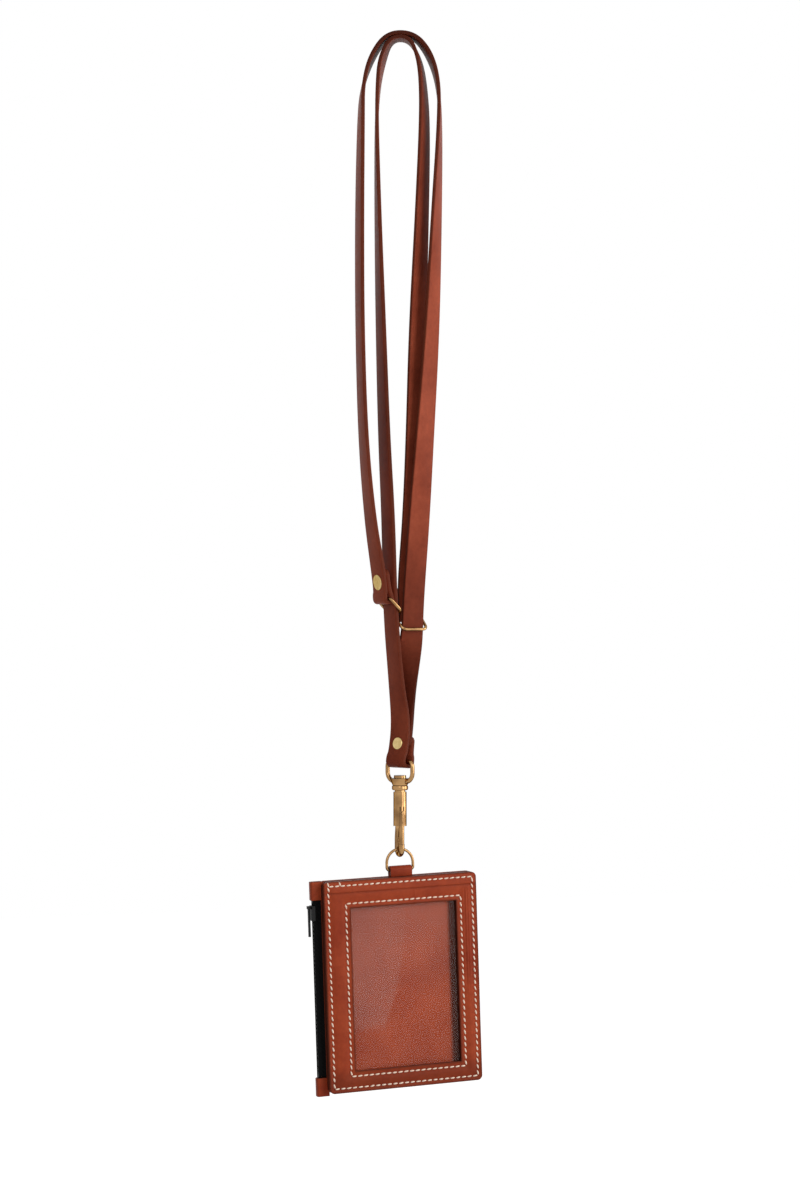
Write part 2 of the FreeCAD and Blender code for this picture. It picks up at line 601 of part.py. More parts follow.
bossTop = "- 1 * eye_level - eye_height + eye_boss_height / 2"
collarTop = "- 1 * eye_level - eye_height - eye_boss_height / 2 - running_gap"
grooveTop = collarTop + " - collar_height"
barrelTop = grooveTop + " - groove_height"
barrelLow = barrelTop + " - barrel_height"

post = new_body("swivel_post")
add_round(post, "Head", "0", "post_head", bossTop + " + running_gap", "post_head_height", down=False)
add_round(post, "Shaft", "0", "post_shaft", bossTop + " + running_gap",
          "eye_boss_height + 2 * running_gap")

snap = new_body("snap_body")
add_round(snap, "Collar", "0", "collar_width", collarTop, "collar_height")
add_fillet(snap, "collar_round", lambda edge: edge.Closed)
add_round(snap, "Groove", "0", "groove_width", grooveTop, "groove_height")
add_round(snap, "Barrel", "0", "barrel_width", barrelTop, "barrel_height")
bendLevel = "- 1 * hook_bottom + hook_wire / 2 + ( hook_back + hook_front ) / 2"
legTop = "- 1 * hook_tip + hook_wire"
neck = [new_sketch(snap, "NeckTop", "XY_Plane", barrelLow + " + running_gap"),
        new_sketch(snap, "NeckLow", "XY_Plane", legTop)]
draw_circle(neck[0], "0", "hook_wire / 2", "neck_width")
draw_circle(neck[1], "0", "hook_back", "hook_wire")
neckLoft = snap.newObject("PartDesign::AdditiveLoft", "SnapNeck")
neckLoft.Profile = neck[0]
neckLoft.Sections = [neck[1]]
neckLoft.Ruled = True
doc.recompute()
add_round(snap, "Leg", "- 1 * hook_back", "hook_wire", legTop, f"{legTop} - ( {bendLevel} )")
bend = new_sketch(snap, "Bend", "XY_Plane", bendLevel)
draw_circle(bend, "0", "hook_back", "hook_wire")
axle = bend.addGeometry(Part.LineSegment(Vector(-5, 1, 0), Vector(5, 1, 0)), True)
bend.addConstraint(Sketcher.Constraint("Horizontal", axle))
limit = bend.addConstraint(Sketcher.Constraint("DistanceY", -1, 1, axle, 1, 1.0))
bend.setExpression(f"Constraints[{limit}]", cell("( hook_back - hook_front ) / 2"))
hookBend = snap.newObject("PartDesign::Revolution", "SnapBend")
hookBend.Profile = bend
hookBend.ReferenceAxis = (bend, ["Axis0"])
hookBend.Angle = 180
hookBend.Reversed = True
doc.recompute()
tipHeight = f"- 1 * hook_tip - ( {bendLevel} )"
add_round(snap, "Tip", "hook_front", "hook_wire", bendLevel, tipHeight, down=False)
channel = new_sketch(snap, "Channel", "XY_Plane", "bolt_travel + 2 * running_gap - bolt_top")
draw_circle(channel, "0", "- 1 * hook_front", "bolt_width + 2 * running_gap")
add_pocket(snap, channel, f"bolt_travel + 3 * running_gap - bolt_top - ( {barrelLow} )")
springBore = new_sketch(snap, "SpringBore", "XY_Plane", "- 1 * spring_seat")
draw_circle(springBore, "0", "spring_ahead * - 1", "spring_width + 2 * running_gap")
add_pocket(snap, springBore, "bolt_top - spring_seat - bolt_travel")

bolt = new_body("snap_bolt")
add_round(bolt, "Rod", "hook_front", "bolt_width", "- 1 * bolt_top", "hook_tip - bolt_top - running_gap")
stud = new_sketch(bolt, "Stud", "XZ_Plane", "hook_front")
draw_circle(stud, "0", "- 1 * bolt_top - stud_width / 2 - running_gap", "stud_width")
add_pad(bolt, stud, "stud_reach")

spring = new_body("bolt_spring")
add_round(spring, "Coil", "spring_ahead", "spring_width", "- 1 * spring_seat", "bolt_top - spring_seat")
core = new_sketch(spring, "Core", "XY_Plane", "- 1 * spring_seat")
draw_circle(core, "0", "- 1 * spring_ahead", "spring_bore")
add_pocket(spring, core, "bolt_top - spring_seat")


# Rivets: a domed cap on the grain side and a post with a disc behind, through all the layers
def rivet(label, fold, layers, width, height):
    stack = layers * layer / 2
    place = fold.rivet_frame(stack, height)
    cap = new_body(label + "_cap", place)
    disc = new_sketch(cap, "Disc", "XY_Plane")
    draw_circle(disc, "0", "0", width)
    add_pad(cap, disc, "rivet_dome")
    add_fillet(cap, "rivet_round", lambda edge: edge.CenterOfMass.z > dim("rivet_dome") / 2)
    post = new_body(label + "_post", place)
    shaft = new_sketch(post, "Shaft", "XY_Plane")
    draw_circle(shaft, "0", "0", "rivet_post")
    add_pad(post, shaft, f"{2 * stack}", backward=True)
    back = new_sketch(post, "Back", "XY_Plane", f"{-2 * stack}")
    draw_circle(back, "0", "0", "rivet_back")
    add_pad(post, back, "rivet_back_height", backward=True)
    return place


rivetHeight = dim("rivet_height")
leftRivet = rivet("left_rivet", leftFold, 2, "rivet_cap", rivetHeight)
rightRivet = rivet("right_rivet", rightFold, 2, "rivet_cap", rivetHeight)
lowerRivet = rivet("lower_rivet", lowerFold, 3, "lower_rivet_cap", dim("lower_rivet_height"))


# Straps: a flat strip along straight runs joined by tangent arcs, turned about its own line on the way
def fold_route(fold, bend, side, spread, tail, main):
    """From the tail's end, down behind the rivet, round the bar and up again in front."""
    low = -bend
    swell = 1.1 * bend
    pinch = 2.0 * bend
    return fold.points([(-spread, tail), (-spread, pinch), (-side, swell), (-side, low),
                        (side, low), (side, swell), (spread, pinch), (spread, main)])


frontStrand = [
    (Vector(-1.7, -2.0, -306.7), -33), (Vector(-4.6, -4.3, -272.0), -31), (Vector(-5.5, -2.9, -228.6), -28),
    (Vector(-7.5, -1.8, -190.5), -24), (Vector(-9.1, -0.8, -138.0), -19), (Vector(-10.5, -0.2, -84.8), -10),
    (Vector(-11.2, 0.0, -40.0), -2),
]
innerArch = [
    (Vector(-10.5, 0.0, -22.0), 3), (Vector(-8.7, 0.0, -9.5), 12), (Vector(-4.4, 0.0, 0.9), 4),
    (Vector(4.4, 0.0, 0.9), 0), (Vector(9.0, 0.0, -8.0), 8), (Vector(11.0, 0.0, -20.0), 13),
    (Vector(11.8, 0.1, -40.0), 21),
]
rightInnerStrand = [
    (Vector(10.4, 0.3, -84.8), 30), (Vector(8.3, 0.9, -138.0), 41), (Vector(7.3, 1.6, -190.5), 48),
    (Vector(6.0, 2.0, -228.6), 54),
]
leftOuterStrand = [
    (Vector(-14.1, -6.2, -228.6), -23), (Vector(-17.5, -4.2, -190.5), -18),
    (Vector(-19.1, -2.2, -138.0), -16), (Vector(-19.3, -0.9, -84.8), -16),
    (Vector(-18.6, -0.2, -37.0), -12),
]
outerArch = [
    (Vector(-17.9, 0.0, -22.0), -4), (Vector(-13.7, 0.0, -8.2), 7), (Vector(-6.0, 0.0, 2.85), 3),
    (Vector(6.2, 0.0, 2.85), -3), (Vector(13.7, 0.0, -5.9), -9), (Vector(18.1, 0.0, -19.0), -3),
    (Vector(19.1, 0.0, -37.0), 5),
]
rightOuterStrand = [
    (Vector(17.3, 0.0, -84.8), 21), (Vector(15.2, -0.4, -138.0), 34), (Vector(11.6, -1.2, -190.5), 46),
    (Vector(9.0, -2.1, -228.6), 58), (Vector(6.3, -2.6, -266.0), 58), (Vector(5.7, -2.3, -283.0), 60),
    (Vector(4.0, 0.4, -294.0), 88), (Vector(2.6, 3.6, -305.0), 112), (Vector(2.2, 3.7, -317.0), 129),
]
lowerTurn = 180 + lowerFold.turn

bulge = 1.0
neckRoute = fold_route(lowerFold, eyeFold, eyeFold + bulge, layer, 13.2, 18.0) + frontStrand + innerArch
rightEnd = fold_route(rightFold, adjusterFold, adjusterFold, layer / 2, 15.0, 16.0)
neckRoute += rightInnerStrand + list(reversed(rightEnd))
ringRoute = fold_route(leftFold, adjusterFold, adjusterFold, layer / 2, 14.5, 15.5)
ringRoute += leftOuterStrand + outerArch
ringRoute += rightOuterStrand + lowerFold.points([(0, 17.0), (0, 6.2)], lowerTurn)


def strap_stations(route):
    """Places, directions and turns along the route, closely spaced where it bends or twists."""
    bendStep = 12.0
    leastSteps = 4
    twistStep = 8.0
    share = 0.45
    stations = [(route[0][0], (route[1][0] - route[0][0]).normalize(), route[0][1])]
    radii = []
    length = 0.0
    for (before, turnBefore), (corner, turn), (after, turnAfter) in zip(route, route[1:], route[2:]):
        comes, goes = corner - before, after - corner
        reach = share * min(comes.Length, goes.Length)
        bend = comes.getAngle(goes)
        radius = reach / math.tan(bend / 2)
        radii.append(radius)
        turnIn = turn + (turnBefore - turn) * reach / comes.Length
        turnOut = turn + (turnAfter - turn) * reach / goes.Length
        comes.normalize()
        goes.normalize()
        start = corner - comes * reach
        last, direction, lastTurn = stations[-1]
        pieces = int(abs(turnIn - lastTurn) // twistStep) + 1
        for step in range(1, pieces):
            part = step / pieces
            stations.append((last + (start - last) * part, comes, lastTurn + (turnIn - lastTurn) * part))
        inward = (goes - comes * comes.dot(goes)).normalize()
        steps = max(leastSteps, int(math.degrees(bend) // bendStep) + 1)
        length += (start - last).Length + radius * bend
        for step in range(steps + 1):
            angle = bend * step / steps
            place = start + comes * (radius * math.sin(angle)) + inward * (radius * (1 - math.cos(angle)))
            heading = comes * math.cos(angle) + inward * math.sin(angle)
            stations.append((place, heading, turnIn + (turnOut - turnIn) * step / steps))
    end, endTurn = route[-1]
    length += (end - stations[-1][0]).Length
    stations.append((end, (end - route[-2][0]).normalize(), endTurn))
    return stations, radii, length


def strap_section(place, heading, turn):
    wide = Vector(math.sin(math.radians(turn)), math.cos(math.radians(turn)), 0)
    wide = (wide - heading * heading.dot(wide)).normalize() * (dim("strap_width") / 2)
    deep = heading.cross(wide).normalize() * (thick / 2)
    corners = [place + wide + deep, place - wide + deep, place - wide - deep, place + wide - deep]
    return Part.makePolygon(corners + corners[:1])


def rivet_hole(place):
    reach = 2 * dim("strap_width")
    hole = Part.makeCylinder(dim("rivet_post") / 2, 2 * reach, Vector(0, 0, -reach))
    hole.Placement = strapFrame.inverse().multiply(place)
    return hole


for label, route, holes in (("neck_strap", neckRoute, [lowerRivet, rightRivet]),
                            ("ring_strap", ringRoute, [leftRivet, lowerRivet])):
    stations, radii, length = strap_stations(route)
    solid = Part.makeLoft([strap_section(*station) for station in stations], True, True)
    share = solid.Volume / (length * dim("strap_width") * thick)
    print(label, "length", round(length, 1), "share of section times length", round(share, 4))
    print(label, "bend radii", [round(radius, 1) for radius in radii])
    for place in holes:
        solid = solid.cut(rivet_hole(place))
    strap = doc.addObject("Part::Feature", label)
    strap.Shape = solid
    node(strap, label, strapFrame)

# Every sub-part is checked, then written
doc.recompute()
for item in doc.Objects:
    if "Invalid" in item.State or "Error" in item.State:
        raise ValueError(f"{item.Name} is not built: {item.State}")
os.makedirs("parts", exist_ok=True)
for item in nodes:
    shape = item.Shape
    if shape.isNull() or not shape.isValid() or not shape.Solids:
        raise ValueError(f"{item.Label} has no valid solid")
    shape.exportStep(f"parts/{item.Label}.step")
    print(item.Label, len(shape.Solids), round(shape.Volume, 1))
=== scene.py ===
import bpy
import bmesh
import math
import random
from mathutils import Matrix, Vector, noise


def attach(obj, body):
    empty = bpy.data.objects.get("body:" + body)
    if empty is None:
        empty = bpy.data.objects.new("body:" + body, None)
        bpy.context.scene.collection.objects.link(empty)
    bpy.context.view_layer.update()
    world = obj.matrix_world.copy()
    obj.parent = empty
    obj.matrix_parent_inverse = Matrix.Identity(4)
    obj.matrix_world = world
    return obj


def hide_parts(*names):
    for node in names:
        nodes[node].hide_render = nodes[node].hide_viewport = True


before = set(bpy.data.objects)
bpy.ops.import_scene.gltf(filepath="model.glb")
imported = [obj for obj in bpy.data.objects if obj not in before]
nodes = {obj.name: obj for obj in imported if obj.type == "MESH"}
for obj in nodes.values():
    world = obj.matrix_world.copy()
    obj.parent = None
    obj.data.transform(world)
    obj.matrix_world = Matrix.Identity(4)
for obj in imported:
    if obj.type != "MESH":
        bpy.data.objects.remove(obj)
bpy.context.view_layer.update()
mm = 0.001
print("frame loaded:", len(nodes), "nodes")

# the wallet hangs from its ring's bar, leaning a little in its own plane
walletPlace = Matrix.Translation((0.0, 0.0, -0.395)) @ Matrix.Rotation(math.radians(-2.0), 4, "Y")


def linear(hexColour):
    parts = [int(hexColour[i:i + 2], 16) / 255 for i in (1, 3, 5)]
    return [c / 12.92 if c <= 0.04045 else ((c + 0.055) / 1.055) ** 2.4 for c in parts] + [1.0]


# camera and studio

shotSettings = {"turn": -20.0, "distance": 1.35, "level": -0.2666, "lens": 85.05, "sensor": 36.0}

viewTurn = math.radians(shotSettings["turn"])
towards = Vector((-math.sin(viewTurn), math.cos(viewTurn), 0.0))
cameraData = bpy.data.cameras.new("photoCamera")
cameraData.sensor_fit = "VERTICAL"
cameraData.sensor_height = shotSettings["sensor"]
cameraData.sensor_width = shotSettings["sensor"]
cameraData.lens = shotSettings["lens"]
camera = bpy.data.objects.new("photoCamera", cameraData)
camera.location = Vector((0, 0, shotSettings["level"])) - towards * shotSettings["distance"]
camera.rotation_euler = towards.to_track_quat("-Z", "Y").to_euler()
bpy.context.scene.collection.objects.link(camera)
bpy.context.scene.camera = camera
bpy.context.scene.view_settings.view_transform = "Standard"
print("camera set")


def addNode(tree, kind, links=None, **settings):
    made = tree.nodes.new(kind)
    for name, value in settings.items():
        setattr(made, name, value)
    for socket, value in (links or {}).items():
        if isinstance(value, bpy.types.NodeSocket):
            tree.links.new(value, made.inputs[socket])
        else:
            made.inputs[socket].default_value = value
    return made


def newMaterial(name):
    material = bpy.data.materials.new(name)
    material.use_nodes = True
    tree = material.node_tree
    tree.nodes.clear()
    shader = addNode(tree, "ShaderNodeBsdfPrincipled")
    addNode(tree, "ShaderNodeOutputMaterial", {"Surface": shader.outputs["BSDF"]})
    return material, tree, shader


# brass, plated, polished and lacquered to an antique tone: a little browner where the lacquer is thick
# rim: the dark edge-on tint, a painted dark reflection
brassSettings = {"bright": "#B38C5E", "dull": "#80603F", "rim": "#33200F", "cloudMm": 7.0, "gloss": 0.14, "matt": 0.2}
# the caps' brass is made paler, a painted reflection of the bright light that they catch
capSettings = {"bright": "#D3BC86", "dull": "#BBA06A", "rim": "#8A6A3A", "cloudMm": 2.0, "gloss": 0.36, "matt": 0.44}


def platedBrass(name, look):
    material, tree, shader = newMaterial(name)
    place = addNode(tree, "ShaderNodeTexCoord").outputs["Object"]
    cloud = addNode(tree, "ShaderNodeTexNoise", {"Vector": place, "Scale": 1 / (look["cloudMm"] * mm), "Detail": 2.0})
    blend = addNode(tree, "ShaderNodeMapRange", {"Value": cloud.outputs["Fac"], "From Min": 0.3, "From Max": 0.7})
    tone = addNode(tree, "ShaderNodeMix", {"Factor": blend.outputs["Result"], 6: linear(look["dull"]),
                                           7: linear(look["bright"])}, data_type="RGBA")
    rough = addNode(tree, "ShaderNodeMapRange", {"Value": blend.outputs["Result"], "To Min": look["matt"],
                                                 "To Max": look["gloss"]})
    tree.links.new(tone.outputs[2], shader.inputs["Base Color"])
    tree.links.new(rough.outputs["Result"], shader.inputs["Roughness"])
    shader.inputs["Metallic"].default_value = 1.0
    shader.inputs["Specular Tint"].default_value = linear(look["rim"])    # painted reflection: a dark tint seen edge-on darkens the metal towards its outlines, in place of dark surroundings reflected there
    return material


antiqueBrass = platedBrass("antiqueBrass", brassSettings)
capBrassPaintedBright = platedBrass("capBrassPaintedBright", capSettings)
print("brass ready")


# vegetable-tanned cowhide, dyed and waxed: smooth, long soft tone changes, fine pores, dark painted edges, and painted
# shade where the meshes mark it
def waxedLeather(name, look):
    material, tree, shader = newMaterial(name)
    place = addNode(tree, "ShaderNodeTexCoord").outputs["Object"]
    cloud = addNode(tree, "ShaderNodeTexNoise", {"Vector": place, "Scale": 1 / (look["cloudMm"] * mm),
                                                 "Detail": 5.0, "Roughness": 0.55})
    tone = addNode(tree, "ShaderNodeValToRGB", {"Fac": cloud.outputs["Fac"]})
    tone.color_ramp.elements[0].position = 0.32
    tone.color_ramp.elements[0].color = linear(look["dark"])
    tone.color_ramp.elements[1].position = 0.68
    tone.color_ramp.elements[1].color = linear(look["light"])
    grain = addNode(tree, "ShaderNodeTexNoise", {"Vector": place, "Scale": 1 / (look["grainMm"] * mm),
                                                 "Detail": 6.0, "Roughness": 0.65})
    fleck = addNode(tree, "ShaderNodeMapRange", {"Value": grain.outputs["Fac"], "From Min": 0.35, "From Max": 0.65,
                                                 "To Min": 0.9, "To Max": 1.06})
    dyed = addNode(tree, "ShaderNodeMix", {"Factor": 1.0, 6: tone.outputs["Color"], 7: fleck.outputs["Result"]},
                   data_type="RGBA", blend_type="MULTIPLY")
    # the edge colour: dark edge paint on cut edges, and painted shade in the crease and in the card slot's shadow
    edge = addNode(tree, "ShaderNodeAttribute", attribute_name="edgePaintAndShade")
    paint = addNode(tree, "ShaderNodeMapRange", {"Value": edge.outputs["Fac"], "To Max": 0.85})
    painted = addNode(tree, "ShaderNodeMix", {"Factor": paint.outputs["Result"], 6: dyed.outputs[2],
                                              7: linear(look["edge"])}, data_type="RGBA")
    # painted shade: darker where a strand lies in another's shadow, at the crown and in the needle holes
    paintedShade = addNode(tree, "ShaderNodeAttribute", attribute_name="paintedShade")
    left = addNode(tree, "ShaderNodeMapRange", {"Value": paintedShade.outputs["Fac"], "To Min": 1.0, "To Max": 0.15})
    withPaintedShade = addNode(tree, "ShaderNodeMix", {"Factor": 1.0, 6: painted.outputs[2], 7: left.outputs["Result"]},
                      data_type="RGBA", blend_type="MULTIPLY")
    pores = addNode(tree, "ShaderNodeTexVoronoi", {"Vector": place, "Scale": 1 / (look["poreMm"] * mm)},
                    feature="DISTANCE_TO_EDGE")
    poreRise = addNode(tree, "ShaderNodeMapRange", {"Value": pores.outputs["Distance"], "From Max": 0.2,
                                                    "To Max": 0.5})
    rise = addNode(tree, "ShaderNodeMath", {0: poreRise.outputs["Result"], 1: grain.outputs["Fac"]},
                   operation="ADD")
    bump = addNode(tree, "ShaderNodeBump", {"Height": rise.outputs[0], "Strength": 0.3,
                                            "Distance": look["depthMm"] * mm})
    rough = addNode(tree, "ShaderNodeMapRange", {"Value": grain.outputs["Fac"], "From Min": 0.3, "From Max": 0.7,
                                                 "To Min": look["gloss"], "To Max": look["matt"]})
    tree.links.new(withPaintedShade.outputs[2], shader.inputs["Base Color"])
    tree.links.new(rough.outputs["Result"], shader.inputs["Roughness"])
    tree.links.new(bump.outputs["Normal"], shader.inputs["Normal"])
    shader.inputs["IOR"].default_value = 1.45
    shader.inputs["Specular IOR Level"].default_value = look["sheen"]
    return material


strapLook = {"dark": "#843A27", "light": "#A24D35", "edge": "#5E2C1E", "cloudMm": 26.0, "poreMm": 0.9,
             "grainMm": 2.2, "depthMm": 0.05, "gloss": 0.34, "matt": 0.48, "sheen": 0.04}
walletLook = {"dark": "#8A311A", "light": "#A54526", "edge": "#552313", "cloudMm": 24.0, "poreMm": 0.9,
              "grainMm": 2.0, "depthMm": 0.06, "gloss": 0.36, "matt": 0.52, "sheen": 0.12}
# edge: near-black, for the cut edges and for the painted shadow inside the window
backingLook = {"dark": "#8F371D", "light": "#A5482A", "edge": "#160805", "cloudMm": 30.0, "poreMm": 0.9,
               "grainMm": 2.4, "depthMm": 0.02, "gloss": 0.5, "matt": 0.65, "sheen": 0.1}
strapLeather = waxedLeather("waxedStrapLeather", strapLook)
walletLeather = waxedLeather("waxedWalletLeather", walletLook)
backingLeather = waxedLeather("waxedBackingLeather", backingLook)
print("leather ready")


# polyester thread, twisted and waxed: pale cream, with a slight sheen across the twist
threadLook = {"light": "#FFF3E2", "dark": "#F8D6BA", "twistMm": 0.35}


def makeThread():
    material, tree, shader = newMaterial("waxedThread")
    place = addNode(tree, "ShaderNodeTexCoord").outputs["Object"]
    twist = addNode(tree, "ShaderNodeTexNoise", {"Vector": place, "Scale": 1 / (threadLook["twistMm"] * mm),
                                                 "Detail": 2.0})
    tone = addNode(tree, "ShaderNodeMix", {"Factor": twist.outputs["Fac"], 6: linear(threadLook["dark"]),
                                           7: linear(threadLook["light"])}, data_type="RGBA")
    bump = addNode(tree, "ShaderNodeBump", {"Height": twist.outputs["Fac"], "Strength": 0.4, "Distance": 0.1 * mm})
    tree.links.new(tone.outputs[2], shader.inputs["Base Color"])
    tree.links.new(bump.outputs["Normal"], shader.inputs["Normal"])
    shader.inputs["Roughness"].default_value = 0.55
    return material


# polyester zip tape, woven in a herringbone: matt black ribs, just visible
tapeLook = {"rib": "#0B0B0C", "gap": "#030303", "ribMm": 0.9}


def makeWovenTape():
    material, tree, shader = newMaterial("wovenZipTape")
    place = addNode(tree, "ShaderNodeTexCoord").outputs["Object"]
    ribs = addNode(tree, "ShaderNodeTexWave", {"Vector": place, "Scale": 0.314 / (tapeLook["ribMm"] * mm),
                                               "Distortion": 1.0}, bands_direction="DIAGONAL")
    tone = addNode(tree, "ShaderNodeMix", {"Factor": ribs.outputs["Fac"], 6: linear(tapeLook["gap"]),
                                           7: linear(tapeLook["rib"])}, data_type="RGBA")
    bump = addNode(tree, "ShaderNodeBump", {"Height": ribs.outputs["Fac"], "Strength": 0.5, "Distance": 0.1 * mm})
    tree.links.new(tone.outputs[2], shader.inputs["Base Color"])
    tree.links.new(bump.outputs["Normal"], shader.inputs["Normal"])
    shader.inputs["Roughness"].default_value = 0.85
    shader.inputs["Specular IOR Level"].default_value = 0.1
    return material


# zinc casting with baked black enamel: dark, with a soft shine and fine orange peel
enamelLook = {"deep": "#050506", "rubbed": "#121112", "peelMm": 0.7, "gloss": 0.4, "matt": 0.55}


def makeEnamel():
    material, tree, shader = newMaterial("blackEnamel")
    place = addNode(tree, "ShaderNodeTexCoord").outputs["Object"]
    peel = addNode(tree, "ShaderNodeTexNoise", {"Vector": place, "Scale": 1 / (enamelLook["peelMm"] * mm),
                                                "Detail": 3.0})
    tone = addNode(tree, "ShaderNodeMix", {"Factor": peel.outputs["Fac"], 6: linear(enamelLook["deep"]),
                                           7: linear(enamelLook["rubbed"])}, data_type="RGBA")
    rough = addNode(tree, "ShaderNodeMapRange", {"Value": peel.outputs["Fac"], "To Min": enamelLook["gloss"],
                                                 "To Max": enamelLook["matt"]})
    bump = addNode(tree, "ShaderNodeBump", {"Height": peel.outputs["Fac"], "Strength": 0.2, "Distance": 0.05 * mm})
    tree.links.new(tone.outputs[2], shader.inputs["Base Color"])
    tree.links.new(rough.outputs["Result"], shader.inputs["Roughness"])
    tree.links.new(bump.outputs["Normal"], shader.inputs["Normal"])
    shader.inputs["Specular IOR Level"].default_value = 0.2
    return material


# PVC film: clear and glossy, with a painted reflection where it is made less clear and so paler
filmLook = {"tint": "#FFF6F0", "alpha": 0.2, "smearMm": 9.0, "gloss": 0.05, "smear": 0.1, "clear": 0.98, "underReflection": 0.85}


def makeClearFilm():
    material, tree, shader = newMaterial("clearVinylFilm")
    place = addNode(tree, "ShaderNodeTexCoord").outputs["Object"]
    smear = addNode(tree, "ShaderNodeTexNoise", {"Vector": place, "Scale": 1 / (filmLook["smearMm"] * mm),
                                                 "Detail": 4.0})
    rough = addNode(tree, "ShaderNodeMapRange", {"Value": smear.outputs["Fac"], "From Min": 0.3, "From Max": 0.7,
                                                 "To Min": filmLook["gloss"], "To Max": filmLook["smear"]})
    paintedReflection = addNode(tree, "ShaderNodeAttribute", attribute_name="paintedReflection")
    passing = addNode(tree, "ShaderNodeMapRange", {"Value": paintedReflection.outputs["Fac"], "To Min": filmLook["clear"],
                                                   "To Max": filmLook["underReflection"]})
    tree.links.new(rough.outputs["Result"], shader.inputs["Roughness"])
    tree.links.new(passing.outputs["Result"], shader.inputs["Transmission Weight"])
    shader.inputs["Base Color"].default_value = linear(filmLook["tint"])
    shader.inputs["Alpha"].default_value = filmLook["alpha"]
    shader.inputs["IOR"].default_value = 1.5
    return material


waxedThread = makeThread()
wovenTape = makeWovenTape()
blackEnamel = makeEnamel()
clearFilm = makeClearFilm()
print("thread, tape, enamel and film ready")


def addPiece(name, bm, material, body):
    mesh = bpy.data.meshes.new(name)
    bm.to_mesh(mesh)
    bm.free()
    mesh.materials.append(material)
    piece = bpy.data.objects.new(name, mesh)
    bpy.context.scene.collection.objects.link(piece)
    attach(piece, body)
    return piece


# straps: each follows its route's spline, with a second spline beside it for the way that its width lies;
# a stop is x, y, z, the turn of the width and the painted shade there, darker where a strand lies in another's shadow
# and at the crown

strapSettings = {"width": 11.5 * mm, "thick": 1.8 * mm, "edgeRound": 0.55 * mm, "tail": 3.2 * mm,
                 "smooth": 12}

neckRoute = [
    (0.00348, 0.00190, -0.33076, -48.6, 0.15), (0.00224, 0.00122, -0.33965, -48.6, 0.15),
    (0.00301, 0.00164, -0.34170, -48.6, 0.15), (0.00240, 0.00131, -0.34606, -48.6, 0.15),
    (-0.00298, -0.00162, -0.34509, -48.6, 0.15), (-0.00237, -0.00129, -0.34073, -48.6, 0.15),
    (-0.00109, -0.00059, -0.33905, -48.6, 0.15), (0.00081, 0.00044, -0.32542, -48.6, 0.15),
    (-0.00228, -0.00130, -0.30670, -33.0, 0.12), (-0.00579, -0.00247, -0.27200, -31.0, 0.15),
    (-0.00616, -0.00084, -0.22860, -28.0, 0.35), (-0.00766, 0.00087, -0.19050, -24.0, 0.35),
    (-0.00882, 0.00236, -0.13800, -19.0, 0.2), (-0.00994, 0.00340, -0.08480, -10.0, 0.1),
    (-0.01052, 0.00383, -0.04000, -2.0, 0.05), (-0.00987, 0.00359, -0.02200, 3.0, 0.2),
    (-0.00818, 0.00298, -0.00950, 12.0, 0.45), (-0.00413, 0.00150, 0.00090, 4.0, 0.55),
    (0.00413, -0.00150, 0.00090, 0.0, 0.55), (0.00846, -0.00308, -0.00800, 8.0, 0.35),
    (0.01034, -0.00376, -0.02000, 13.0, 0.1), (0.01112, -0.00394, -0.04000, 21.0, 0.0),
    (0.00988, -0.00328, -0.08480, 30.0, 0.0), (0.00811, -0.00199, -0.13800, 41.0, 0.0),
    (0.00741, -0.00099, -0.19050, 48.0, 0.2), (0.00632, -0.00017, -0.22860, 54.0, 0.3),
    (0.00394, -0.00048, -0.25847, 58.0, 0.2), (0.00407, -0.00112, -0.27095, 58.0, 0.2),
    (0.00426, -0.00197, -0.27249, 58.0, 0.2), (0.00430, -0.00216, -0.27616, 58.0, 0.2),
    (0.00357, 0.00126, -0.27634, 58.0, 0.2), (0.00353, 0.00145, -0.27267, 58.0, 0.2),
    (0.00368, 0.00076, -0.27106, 58.0, 0.2), (0.00355, 0.00135, -0.25957, 58.0, 0.2),
]
ringRoute = [
    (-0.01056, -0.00322, -0.25151, -30.0, 0.05), (-0.00905, -0.00295, -0.26240, -30.0, 0.05),
    (-0.00807, -0.00278, -0.26385, -30.0, 0.05), (-0.00756, -0.00269, -0.26749, -30.0, 0.05),
    (-0.01098, -0.00329, -0.26798, -30.0, 0.05), (-0.01148, -0.00338, -0.26434, -30.0, 0.05),
    (-0.01093, -0.00328, -0.26267, -30.0, 0.05), (-0.01257, -0.00357, -0.25078, -30.0, 0.05),
    (-0.01537, -0.00100, -0.22860, -23.0, 0.0), (-0.01788, 0.00204, -0.19050, -18.0, 0.0),
    (-0.01870, 0.00447, -0.13800, -16.0, 0.0), (-0.01844, 0.00576, -0.08480, -16.0, 0.0),
    (-0.01755, 0.00617, -0.03700, -12.0, 0.1), (-0.01682, 0.00612, -0.02200, -4.0, 0.25),
    (-0.01287, 0.00469, -0.00820, 7.0, 0.5), (-0.00564, 0.00205, 0.00285, 3.0, 0.6),
    (0.00583, -0.00212, 0.00285, -3.0, 0.6), (0.01287, -0.00469, -0.00590, -9.0, 0.5),
    (0.01701, -0.00619, -0.01900, -3.0, 0.35), (0.01795, -0.00653, -0.03700, 5.0, 0.2),
    (0.01626, -0.00592, -0.08480, 21.0, 0.0), (0.01415, -0.00557, -0.13800, 34.0, 0.0),
    (0.01049, -0.00510, -0.19050, 46.0, 0.0), (0.00774, -0.00505, -0.22860, 58.0, 0.1),
    (0.00503, -0.00460, -0.26600, 58.0, 0.35), (0.00457, -0.00411, -0.28300, 60.0, 0.5),
    (0.00390, -0.00099, -0.29400, 88.0, 0.6), (0.00367, 0.00249, -0.30500, 112.0, 0.7),
    (0.00333, 0.00272, -0.31700, 129.0, 0.7), (0.00233, 0.00127, -0.32671, 131.4, 0.5),
    (0.00085, 0.00046, -0.33738, 131.4, 0.3),
]


